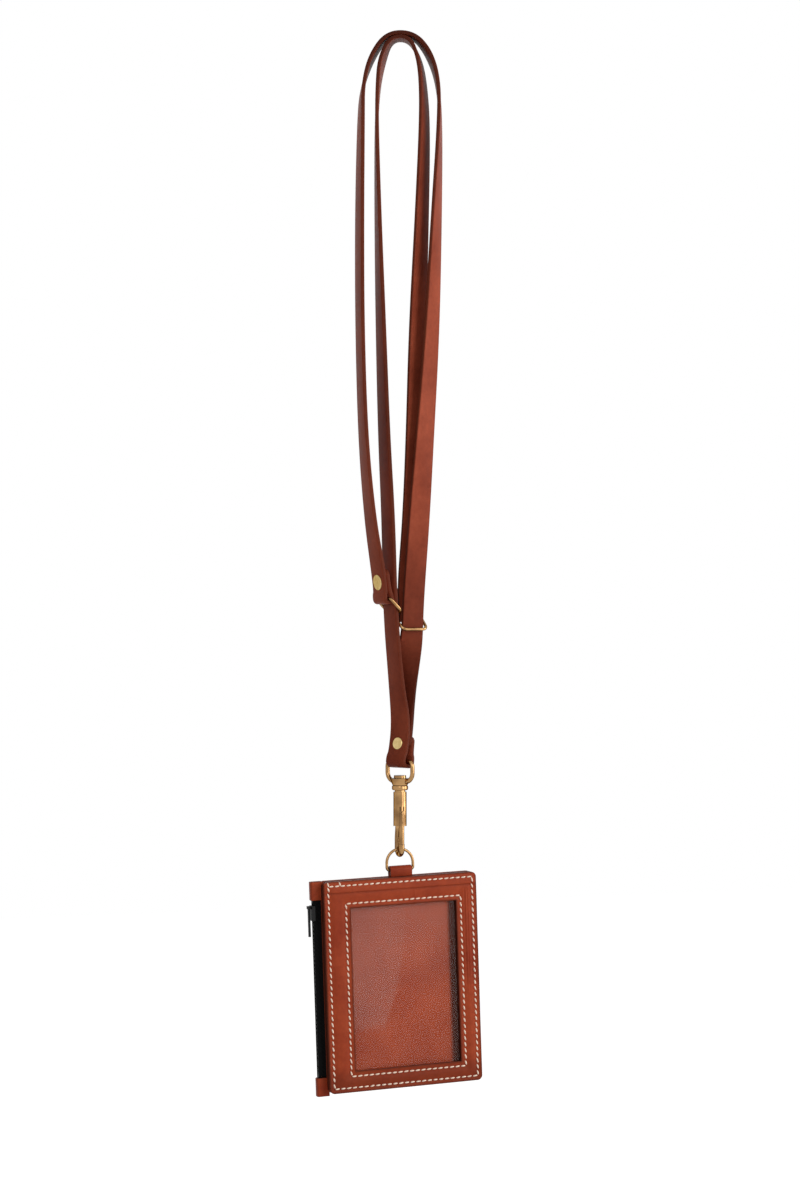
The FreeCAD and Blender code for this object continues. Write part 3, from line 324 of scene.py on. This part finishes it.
def readSpline(points, name):
    curve = bpy.data.curves.new(name, "CURVE")
    curve.dimensions = "3D"
    curve.resolution_u = strapSettings["smooth"]
    spline = curve.splines.new("NURBS")
    spline.points.add(len(points) - 1)
    for control, place in zip(spline.points, points):
        control.co = (*place, 1.0)
    spline.order_u = 3
    spline.use_endpoint_u = True
    carrier = bpy.data.objects.new(name, curve)
    bpy.context.scene.collection.objects.link(carrier)
    line = bpy.data.meshes.new_from_object(carrier)
    places = [vertex.co.copy() for vertex in line.vertices]
    bpy.data.meshes.remove(line)
    bpy.data.objects.remove(carrier)
    return places


# a flat strip with rounded edges, swept along a line; beside gives the way that its width lies,
# and both ends are trimmed round over the tail's length
def sweepStrip(line, beside, half, thick, edge, tail=0.0, paintedShade=None, steps=4):
    bm = bmesh.new()
    acrossKey = bm.verts.layers.float.new("across")
    riseKey = bm.verts.layers.float.new("rise")
    shadeKey = bm.verts.layers.float.new("edgePaintAndShade")
    # painted shade, carried along the strip from the route
    paintedShadeKey = bm.verts.layers.float.new("paintedShade")
    ring = []
    for signA, signB, start in ((1, 1, 0), (-1, 1, 90), (-1, -1, 180), (1, -1, 270)):
        for step in range(steps + 1):
            angle = math.radians(start + 90 * step / steps)
            vertex = bm.verts.new()
            vertex[acrossKey] = signA * (half - edge) + edge * math.cos(angle)
            vertex[riseKey] = signB * (thick - edge) + edge * math.sin(angle)
            vertex[shadeKey] = abs(math.cos(angle)) ** 2
            ring.append(vertex)
    edges = [bm.edges.new((ring[i], ring[(i + 1) % len(ring)])) for i in range(len(ring))]
    bm.faces.new(ring)
    whole = sum((line[i] - line[i - 1]).length for i in range(1, len(line)))
    travelled = 0.0
    front = list(ring)
    for i, place in enumerate(line):
        heading = (line[min(i + 1, len(line) - 1)] - line[max(i - 1, 0)]).normalized()
        across = (beside[i] - heading * beside[i].dot(heading)).normalized()
        outward = across.cross(heading)
        if i:
            travelled += (place - line[i - 1]).length
            made = bmesh.ops.extrude_edge_only(bm, edges=edges)["geom"]
            front = [part for part in made if isinstance(part, bmesh.types.BMVert)]
            fresh = set(front)
            edges = [part for part in made if isinstance(part, bmesh.types.BMEdge)
                     and part.verts[0] in fresh and part.verts[1] in fresh]
        toEnd = min(travelled, whole - travelled)
        narrow = math.sqrt(1 - 0.9 * (1 - toEnd / tail) ** 2) if toEnd < tail else 1.0
        for vertex in front:
            vertex.co = place + across * vertex[acrossKey] * narrow + outward * vertex[riseKey]
            vertex[paintedShadeKey] = paintedShade[i] if paintedShade else 0.0
    bmesh.ops.contextual_create(bm, geom=edges)
    bmesh.ops.recalc_face_normals(bm, faces=bm.faces)
    for face in bm.faces:
        face.smooth = len(face.verts) == 4
    return bm, travelled


def makeStrap(name, route):
    half = strapSettings["width"] / 2
    centre = [Vector(stop[:3]) for stop in route]
    side = []
    for stop, place in zip(route, centre):
        lay = math.radians(stop[3]) - viewTurn  # the turn is given as the camera sees it
        side.append(place + Vector((math.sin(lay), math.cos(lay), 0.0)) * half)
    line = readSpline(centre, name + "Line")
    beside = [edge - place for edge, place in zip(readSpline(side, name + "Side"), line)]
    # painted shade along the strap, from each stop's last value
    paintedShade = [stop.x for stop in readSpline([(stop[4], 0.0, 0.0) for stop in route], name + "PaintedShade")]
    bm, travelled = sweepStrip(line, beside, half, strapSettings["thick"] / 2, strapSettings["edgeRound"],
                               strapSettings["tail"], paintedShade)
    piece = addPiece(name, bm, strapLeather, "straps")
    print(name, "length", round(travelled / mm, 1), "mm")
    return piece


rivetNodes = ["left_rivet_cap", "left_rivet_post", "right_rivet_cap", "right_rivet_post", "lower_rivet_cap",
              "lower_rivet_post"]
ringNodes = ["left_adjuster_ring", "right_adjuster_ring"]
neckStrap = makeStrap("neckStrap", neckRoute)
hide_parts("neck_strap")
ringStrap = makeStrap("ringStrap", ringRoute)
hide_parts("ring_strap")

# wallet, in millimetres in its own frame: front towards -y, hang ring's bar at the origin

toWallet = walletPlace @ Matrix.Scale(mm, 4)
panelSettings = {"left": -40.25, "right": 36.65, "top": -2.9, "bottom": -102.8, "corner": 2.4, "front": -5.2,
                 "back": -3.7, "cell": 1.0, "edgeRound": 0.6, "seamSink": 0.34, "sinkWide": 0.85, "swell": 0.22}
windowSettings = {"left": -27.15, "right": 26.15, "top": -16.0, "bottom": -93.0}
seamSettings = {"outerInset": 2.2, "windowInset": 2.3, "pitch": 2.9, "length": 2.3, "width": 0.8, "rise": 0.55,
                "slant": 17.0, "levelSlant": 6.0, "hole": 0.62}


def cutSheet(left, right, bottom, top, corner, level):
    bm = bmesh.new()
    corners = [bm.verts.new((x, level, z)) for x, z in ((left, bottom), (right, bottom), (right, top), (left, top))]
    bm.faces.new(corners)
    if corner:
        bmesh.ops.bevel(bm, geom=corners, offset=corner, offset_type="OFFSET", affect="VERTICES", segments=6,
                        profile=0.5, material=-1)
    return bm


def cutLines(bm, axis, stops):
    normal = Vector((1, 0, 0)) if axis == "x" else Vector((0, 0, 1))
    for stop in stops:
        bmesh.ops.bisect_plane(bm, geom=bm.verts[:] + bm.edges[:] + bm.faces[:], dist=0.0001,
                               plane_co=normal * stop, plane_no=normal)


def spaced(start, end, step):
    count = max(1, round((end - start) / step))
    return [start + (end - start) * i / count for i in range(1, count)]


def thicken(bm, depth):
    made = bmesh.ops.extrude_face_region(bm, geom=bm.faces[:], use_keep_orig=True)["geom"]
    moved = [part for part in made if isinstance(part, bmesh.types.BMVert)]
    bmesh.ops.translate(bm, verts=moved, vec=(0, depth, 0))
    bmesh.ops.recalc_face_normals(bm, faces=bm.faces)
    bm.normal_update()
    return moved


def rimEdges(bm, level):
    rim = []
    for edge in bm.edges:
        if all(abs(vertex.co.y - level) < 0.001 for vertex in edge.verts) and len(edge.link_faces) == 2:
            if abs(edge.link_faces[0].normal.dot(edge.link_faces[1].normal)) < 0.5:
                rim.append(edge)
    return rim


def roundRim(bm, level, offset, segments=3):
    bmesh.ops.bevel(bm, geom=rimEdges(bm, level), offset=offset, offset_type="OFFSET", affect="EDGES",
                    segments=segments, profile=0.5, material=-1, clamp_overlap=True)


def bell(distance, width):
    return math.exp(-(distance / width) ** 2)


def ease(value, low, high):
    part = min(1.0, max(0.0, (value - low) / (high - low)))
    return part * part * (3 - 2 * part)


def edgeDistance(x, z):
    p = panelSettings
    return min(x - p["left"], p["right"] - x, p["top"] - z, z - p["bottom"])


def windowDistance(x, z):
    w = windowSettings
    return max(w["left"] - x, x - w["right"], w["bottom"] - z, z - w["top"])


def addShade(bm, shade):
    key = bm.verts.layers.float.get("edgePaintAndShade") or bm.verts.layers.float.new("edgePaintAndShade")
    for vertex in bm.verts:
        vertex[key] = shade(vertex.co)


def seatInWallet(bm, smooth=True):
    bmesh.ops.transform(bm, matrix=toWallet, verts=bm.verts)
    for face in bm.faces:
        face.smooth = smooth


# front panel: one sheet with the window cut out, pulled down along both seams and swelling between them,
# with upright creases beside the window
panelCreases = [(30.4, 0.22), (31.7, 0.2), (33.0, 0.12)]


def panelRise(x, z):
    p = panelSettings
    edge, hole = edgeDistance(x, z), windowDistance(x, z)
    rise = -p["seamSink"] * bell(edge - seamSettings["outerInset"], p["sinkWide"])
    rise -= p["seamSink"] * bell(hole - seamSettings["windowInset"], p["sinkWide"])
    middle = min(edge - seamSettings["outerInset"], hole - seamSettings["windowInset"])
    rise += p["swell"] * ease(middle, 0.5, 3.5)
    rise += 0.34 * ease(z, -8.6, -8.0) * ease(edge, 0.4, 2.0)     # a doubled edge shows through below the top seam
    rise -= 0.22 * bell(z + 8.7, 0.4) * ease(edge, 0.4, 2.0)
    upright = ease(z, -70.0, -46.0) * ease(-z, 9.5, 13.0)
    for crease, depth in panelCreases:
        rise -= depth * bell(x - crease, 0.35) * upright
    rise += 0.16 * bell(x - 5.2, 0.5) * ease(z, -16.5, -13.0) * ease(-z, 9.0, 10.0)   # the hang loop's end below
    rise += 0.14 * noise.noise(Vector((x / 16, 0.3, z / 22)))
    rise += 0.05 * noise.noise(Vector((x / 5, 2.3, z / 6)))
    return rise


# darker at the cut edges, where the edge paint is, and along the foot; painted shade in the crease below the top seam
def panelShade(co):
    rims = 1 - ease(edgeDistance(co.x, co.z), 0.0, 0.8) * ease(windowDistance(co.x, co.z), 0.1, 1.0)
    return min(1.0, rims + 0.4 * bell(co.z + 8.75, 0.45) + 0.5 * ease(-co.z, 89.5, 98.0))


def makeFrontPanel():
    p, w = panelSettings, windowSettings
    bm = cutSheet(p["left"], p["right"], p["bottom"], p["top"], p["corner"], p["back"])
    cutLines(bm, "x", [w["left"], w["right"]])
    cutLines(bm, "z", [w["bottom"], w["top"]])
    hole = [face for face in bm.faces if windowDistance(face.calc_center_median().x, face.calc_center_median().z) < 0]
    bmesh.ops.delete(bm, geom=hole, context="FACES")
    cutLines(bm, "x", spaced(p["left"], p["right"], p["cell"]) + spaced(29.6, 33.8, 0.27) + spaced(4.0, 6.4, 0.3))
    cutLines(bm, "z", spaced(p["bottom"], p["top"], p["cell"]) + spaced(-9.7, -7.7, 0.23))
    thicken(bm, p["front"] - p["back"])
    roundRim(bm, p["front"], p["edgeRound"])
    addShade(bm, panelShade)
    thick = p["back"] - p["front"]
    for vertex in bm.verts:
        vertex.co.y -= panelRise(vertex.co.x, vertex.co.z) * (p["back"] - vertex.co.y) / thick
    seatInWallet(bm)
    piece = addPiece("frontPanel", bm, walletLeather, "wallet")
    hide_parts("front_panel")


makeFrontPanel()
print("front panel made")

# card backing: a sheet with a shallow bed for the film and a card
backingSettings = {"front": -3.7, "back": -1.2, "bed": 1.3, "margin": 5.0, "cell": 3.0}


def makeBacking():
    p, w, b = panelSettings, windowSettings, backingSettings
    bed = [w["left"] - b["margin"], w["right"] + b["margin"], w["bottom"] - b["margin"], w["top"] + b["margin"]]
    bm = cutSheet(p["left"], p["right"], p["bottom"], p["top"], p["corner"], b["back"])
    # close lines by the window's right side carry the painted shadow
    cutLines(bm, "x", bed[:2] + spaced(bed[0], bed[1], b["cell"]) + spaced(w["right"] - 5.5, w["right"], 0.45))
    cutLines(bm, "z", bed[2:] + spaced(bed[2], bed[3], b["cell"]))
    thicken(bm, b["front"] - b["back"])
    floor = []
    for face in bm.faces:
        centre = face.calc_center_median()
        if face.normal.y < -0.9 and bed[0] < centre.x < bed[1] and bed[2] < centre.z < bed[3]:
            floor.append(face)
    made = bmesh.ops.extrude_face_region(bm, geom=floor)["geom"]
    sunk = [part for part in made if isinstance(part, bmesh.types.BMVert)]
    bmesh.ops.delete(bm, geom=floor, context="FACES")
    bmesh.ops.translate(bm, verts=sunk, vec=(0, b["bed"], 0))
    for vertex in sunk:
        inside = -windowDistance(vertex.co.x, vertex.co.z)
        if inside > 0:
            vertex.co.y += 0.25 * noise.noise(Vector((vertex.co.x / 20, 5.1, vertex.co.z / 26))) - 0.1
    bmesh.ops.recalc_face_normals(bm, faces=bm.faces)
    addShade(bm, lambda co: max(1 - ease(edgeDistance(co.x, co.z), 0.0, 0.9),      # dark cut edges, and a painted shadow of the window's right edge on the bed
                                ease(co.x, w["right"] - 4.6, w["right"] - 2.4) * ease(bed[1] - co.x, 0.0, 0.4)))
    seatInWallet(bm)
    piece = addPiece("cardBacking", bm, backingLeather, "wallet")
    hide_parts("card_backing")


makeBacking()

# window film: thin clear sheet, not quite flat, so that its shine wanders
filmSettings = {"level": -3.45, "thick": 0.16, "margin": 4.6, "cell": 0.8, "wave": 0.12}


# painted reflection: paler on the left of a curve that swings in towards the foot, clearing again low down on the
# right
def filmPaintedReflection(x, z):
    fallen = (windowSettings["top"] - z) / 59
    curve = 1.0 - 13 * max(0.0, fallen) ** 2
    gleam = max(ease(curve - x, -0.7, 0.7) * ease(z, -77.0, -71.0), 0.7 * ease(z, -62.0, -22.0))
    return gleam * ease(windowSettings["right"] - x, 3.0, 6.0)


def makeFilm():
    w, f = windowSettings, filmSettings
    sides = [w["left"] - f["margin"], w["right"] + f["margin"], w["bottom"] - f["margin"], w["top"] + f["margin"]]
    bm = cutSheet(*sides, 0, f["level"])
    cutLines(bm, "x", spaced(sides[0], sides[1], f["cell"]))
    cutLines(bm, "z", spaced(sides[2], sides[3], f["cell"]))
    thicken(bm, -f["thick"])
    # painted reflection, stored on the vertices
    paintedReflectionKey = bm.verts.layers.float.new("paintedReflection")
    for vertex in bm.verts:
        inside = ease(-windowDistance(vertex.co.x, vertex.co.z), 0.0, 8.0)
        lean = (vertex.co.x + 0.35 * (vertex.co.z + 54)) / 24
        vertex[paintedReflectionKey] = filmPaintedReflection(vertex.co.x, vertex.co.z)
        vertex.co.y += inside * (0.3 + f["wave"] * math.sin(lean) + 0.05 * noise.noise(vertex.co / 15))
    seatInWallet(bm)
    piece = addPiece("windowFilm", bm, clearFilm, "wallet")
    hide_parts("window_film")


makeFilm()
print("window made")

# back panel: moulded over the pocket, open on the zip side
backSettings = {"front": -1.2, "back": 4.8, "leather": 1.4, "round": 2.2, "cell": 2.0, "sink": 0.3}


def makeBackPanel():
    p, b = panelSettings, backSettings
    bm = cutSheet(p["left"], p["right"], p["bottom"], p["top"], p["corner"], b["front"])
    bmesh.ops.reverse_faces(bm, faces=bm.faces)
    made = bmesh.ops.extrude_face_region(bm, geom=bm.faces[:])["geom"]
    moved = [part for part in made if isinstance(part, bmesh.types.BMVert)]
    bmesh.ops.translate(bm, verts=moved, vec=(0, b["back"] - b["front"], 0))
    bmesh.ops.recalc_face_normals(bm, faces=bm.faces)
    bm.normal_update()
    roundRim(bm, b["back"], b["round"], 5)
    bm.normal_update()
    mouth = []
    for face in bm.faces:
        if face.normal.x < -0.9 and face.calc_area() > 100:
            mouth.append(face)
    bmesh.ops.delete(bm, geom=mouth, context="FACES")
    cutLines(bm, "x", spaced(p["left"], p["right"], b["cell"]))
    cutLines(bm, "z", spaced(p["bottom"], p["top"], b["cell"]))
    for vertex in bm.verts:
        if vertex.co.y > b["back"] - 0.5:
            edge = edgeDistance(vertex.co.x, vertex.co.z)
            vertex.co.y -= b["sink"] * bell(edge - seamSettings["outerInset"], 1.0)
            vertex.co.y += 0.12 * noise.noise(Vector((vertex.co.x / 18, 9.1, vertex.co.z / 24))) - 0.12
    bmesh.ops.solidify(bm, geom=bm.faces[:], thickness=b["leather"])
    bmesh.ops.recalc_face_normals(bm, faces=bm.faces)
    addShade(bm, lambda co: 1 - ease(co.y, b["front"], b["front"] + 0.9))
    seatInWallet(bm)
    piece = addPiece("backPanel", bm, walletLeather, "wallet")
    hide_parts("back_panel")


makeBackPanel()
print("back panel made")


# folded leather: hang loop over the ring's bar, and the two tabs over the zip's ends
def foldLeather(name, folds, across, start, end, thick, node):
    line = readSpline(folds, name + "Fold")
    half = (end - start) / 2
    bm = sweepStrip(line, [across] * len(line), half, thick / 2, 0.3)[0]
    bmesh.ops.translate(bm, verts=bm.verts, vec=across * (start + half))
    seatInWallet(bm)
    piece = addPiece(name, bm, walletLeather, "wallet")
    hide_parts(node)
    return piece


loopFold = [(0, -0.65, -10.8), (0, -0.65, -5.0), (0, -1.46, -1.8), (0, -1.46, 1.46), (0, 1.46, 1.46),
            (0, 1.46, -1.8), (0, 0.65, -5.0), (0, 0.65, -10.8)]
tabFold = [(-39.2, -0.25, 0), (-43.75, -0.3, 0), (-44.6, -0.3, 0), (-44.6, 2.5, 0), (-43.75, 2.5, 0),
           (-39.2, 2.45, 0)]
foldLeather("hangLoop", loopFold, Vector((1, 0, 0)), -5.5, 5.5, 1.25, "hang_loop")
foldLeather("zipTabTop", tabFold, Vector((0, 0, 1)), -11.7, -2.9, 1.15, "zip_end_tab_top")
foldLeather("zipTabBottom", tabFold, Vector((0, 0, 1)), -104.3, -95.5, 1.15, "zip_end_tab_bottom")
print("loop and tabs made")


# saddle stitches: waxed thread, each one a short slanted hump that dives into its holes
def runStitches(bm, holes, sides, level, hand, rise):
    s = seamSettings
    left, right, bottom, top = sides
    runs = [((left, top), (right, top)), ((right, top), (right, bottom)), ((right, bottom), (left, bottom)),
            ((left, bottom), (left, top))]
    for (x0, z0), (x1, z1) in runs:
        run = Vector((x1 - x0, 0, z1 - z0))
        count = round(run.length / s["pitch"])
        for i in range(count):
            place = Vector((x0, 0, z0)) + run * ((i + 0.5) / count)
            place.y = level - hand * rise(place.x, place.z)
            addStitch(bm, place, run, s["length"] * random.uniform(0.94, 1.04))
            hole = Vector((x0, 0, z0)) + run * (i / count)
            hole.y = level - hand * (rise(hole.x, hole.z) - 0.2)
            bmesh.ops.create_uvsphere(holes, u_segments=6, v_segments=5, radius=s["hole"] / 2,
                                      matrix=Matrix.Translation(hole) @ Matrix.Diagonal((1, 0.5, 1, 1)))


def addStitch(bm, place, run, length):
    s = seamSettings
    slant = s["slant"] if abs(run.z) > abs(run.x) else s["levelSlant"]
    turn = math.atan2(run.z, run.x) + math.radians(slant + random.uniform(-3, 3))
    matrix = Matrix.Translation(place) @ Matrix.Rotation(-turn, 4, "Y")
    matrix = matrix @ Matrix.Diagonal((length, s["rise"] * 2, s["width"], 1))
    bmesh.ops.create_uvsphere(bm, u_segments=7, v_segments=6, radius=0.5,
                              matrix=matrix @ Matrix.Rotation(math.radians(90), 4, "Y"))


def makeSeams():
    p, w, s = panelSettings, windowSettings, seamSettings
    random.seed(7)
    holes = bmesh.new()
    bm = bmesh.new()
    inset = s["outerInset"]
    outer = [p["left"] + inset, p["right"] - inset, p["bottom"] + inset, p["top"] - inset]
    runStitches(bm, holes, outer, p["front"], 1, lambda x, z: panelRise(x, z) + 0.12)
    runStitches(bm, holes, outer, backSettings["back"], -1, lambda x, z: -0.3)
    for x in (outer[0], outer[0] + 5.8):        # the seam's ends are tied off over the top edge
        addStitch(bm, Vector((x, p["front"] + 0.05, p["top"] - 1.3)), Vector((0.05, 0, -1)), 2.1)
    seatInWallet(bm)
    piece = addPiece("outerStitches", bm, waxedThread, "wallet")
    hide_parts("outer_seam")
    bm = bmesh.new()
    inset = s["windowInset"]
    inner = [w["left"] - inset, w["right"] + inset, w["bottom"] - inset, w["top"] + inset]
    runStitches(bm, holes, inner, p["front"], 1, lambda x, z: panelRise(x, z) + 0.12)
    seatInWallet(bm)
    piece = addPiece("windowStitches", bm, waxedThread, "wallet")
    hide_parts("window_seam")
    # needle holes: small near-black caps, painted shade where the holes are
    paintedShadeKey = holes.verts.layers.float.new("paintedShade")
    for vertex in holes.verts:
        vertex[paintedShadeKey] = 0.95
    seatInWallet(holes)
    addPiece("needleHoles", holes, walletLeather, "wallet")


makeSeams()
print("seams sewn")

# zip tapes: woven strips from inside the pocket out to the teeth, rippling a little
tapeSettings = {"outer": -44.0, "inner": -35.75, "top": -11.7, "bottom": -95.5, "thick": 0.45, "ripple": 0.12}


def makeTape(name, node, inside, outside):
    t = tapeSettings
    bm = bmesh.new()
    ends = [(t["outer"], outside), (-40.35, outside), (-39.15, inside), (t["inner"], inside)]
    row = [bm.verts.new((x, y, t["top"])) for x, y in ends]
    edges = [bm.edges.new((row[i], row[i + 1])) for i in range(3)]
    made = bmesh.ops.extrude_edge_only(bm, edges=edges)["geom"]
    moved = [part for part in made if isinstance(part, bmesh.types.BMVert)]
    bmesh.ops.translate(bm, verts=moved, vec=(0, 0, t["bottom"] - t["top"]))
    cutLines(bm, "z", spaced(t["bottom"], t["top"], 1.5))
    cutLines(bm, "x", [-42.35, -41.65, -40.95, -39.95, -39.55])
    bmesh.ops.solidify(bm, geom=bm.faces[:], thickness=t["thick"])
    bmesh.ops.recalc_face_normals(bm, faces=bm.faces)
    for vertex in bm.verts:
        loose = ease(-vertex.co.x, 39.8, 41.3) * ease(-vertex.co.x, 44.1, 43.0)
        vertex.co.y += t["ripple"] * math.sin(vertex.co.z / 4.2) * loose
    seatInWallet(bm)
    piece = addPiece(name, bm, wovenTape, "wallet")
    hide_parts(node)


makeTape("zipTapeFront", "zip_tape_front", -0.7, -0.15)
makeTape("zipTapeBack", "zip_tape_back", 2.9, 2.35)
print("zip made")


# hard pieces keep their CAD shape
def dress(names, material):
    for name in names:
        nodes[name].data.materials.clear()
        nodes[name].data.materials.append(material)


dress(ringNodes + ["swivel_eye", "swivel_post", "snap_body", "snap_bolt", "hang_ring", "bolt_spring"], antiqueBrass)
dress(rivetNodes, capBrassPaintedBright)
dress(["zip_slider", "zip_puller", "zip_stops", "zip_teeth_front", "zip_teeth_back"], blackEnamel)
print("metal dressed")

# studio: white paper below, four soft panels and a white world

studioSettings = {"floor": -0.56, "reach": 1.3, "key": 8.0, "right": 8.0, "front": 8.0,
                  "side": 0.4, "world": 0.15}

# matt white paper, glowing a little where it is looked at, so that it is white and still takes a faint shadow
floorMaterial, floorTree, floorShader = newMaterial("whitePaper")
floorPath = addNode(floorTree, "ShaderNodeLightPath")
seen = addNode(floorTree, "ShaderNodeMath", {0: floorPath.outputs["Is Camera Ray"],
                                             1: floorPath.outputs["Is Glossy Ray"]}, operation="MAXIMUM")
seen = addNode(floorTree, "ShaderNodeMath", {0: seen.outputs[0], 1: floorPath.outputs["Is Transmission Ray"]},
               operation="MAXIMUM")
paperTone = addNode(floorTree, "ShaderNodeMapRange", {"Value": seen.outputs[0], "To Min": 0.88, "To Max": 0.3})
paperGlow = addNode(floorTree, "ShaderNodeMath", {0: seen.outputs[0], 1: 0.97}, operation="MULTIPLY")
floorTree.links.new(paperTone.outputs["Result"], floorShader.inputs["Base Color"])
floorTree.links.new(paperGlow.outputs[0], floorShader.inputs["Emission Strength"])
floorShader.inputs["Emission Color"].default_value = (1, 1, 1, 1)
floorShader.inputs["Roughness"].default_value = 0.9
floorShader.inputs["Specular IOR Level"].default_value = 0.0

bm = bmesh.new()
bmesh.ops.create_grid(bm, x_segments=1, y_segments=1, size=studioSettings["reach"])
floorMesh = bpy.data.meshes.new("paperFloor")
bm.to_mesh(floorMesh)
bm.free()
floorMesh.materials.append(floorMaterial)
paperFloor = bpy.data.objects.new("paperFloor", floorMesh)
paperFloor.location = (0, 0, studioSettings["floor"])
bpy.context.scene.collection.objects.link(paperFloor)

world = bpy.data.worlds.new("whiteStudio")
world.use_nodes = True
bpy.context.scene.world = world
worldTree = world.node_tree
worldTree.nodes.clear()
worldPath = addNode(worldTree, "ShaderNodeLightPath")
looked = addNode(worldTree, "ShaderNodeMath", {0: worldPath.outputs["Is Camera Ray"],
                                               1: worldPath.outputs["Is Glossy Ray"]}, operation="MAXIMUM")
shown = addNode(worldTree, "ShaderNodeMath", {0: looked.outputs[0], 1: worldPath.outputs["Is Transmission Ray"]},
                operation="MAXIMUM")
strength = addNode(worldTree, "ShaderNodeMath", {0: shown.outputs[0], 1: studioSettings["world"]},
                   operation="MAXIMUM")
glow = addNode(worldTree, "ShaderNodeBackground", {"Color": (1, 1, 1, 1), "Strength": strength.outputs[0]})
addNode(worldTree, "ShaderNodeOutputWorld", {"Surface": glow.outputs["Background"]})


def addPanel(name, place, aim, size, power):
    lamp = bpy.data.lights.new(name, "AREA")
    lamp.shape = "RECTANGLE"
    lamp.size, lamp.size_y = size
    lamp.energy = power
    panel = bpy.data.objects.new(name, lamp)
    panel.location = place
    panel.rotation_euler = (Vector(aim) - Vector(place)).to_track_quat("-Z", "Y").to_euler()
    bpy.context.scene.collection.objects.link(panel)


addPanel("keyPanel", (0.74, -1.19, 0.04), (0, 0, -0.28), (0.8, 1.1), studioSettings["key"])
addPanel("rightPanel", (1.32, -0.48, -0.08), (0, 0, -0.26), (0.6, 0.9), studioSettings["right"])
addPanel("frontPanel", (-0.75, -1.53, 0.35), (0, 0, -0.28), (0.8, 1.0), studioSettings["front"])
addPanel("sidePanel", (-1.1, 0.69, -0.25), (0, 0, -0.28), (1.1, 1.0), studioSettings["side"])
print("studio set")
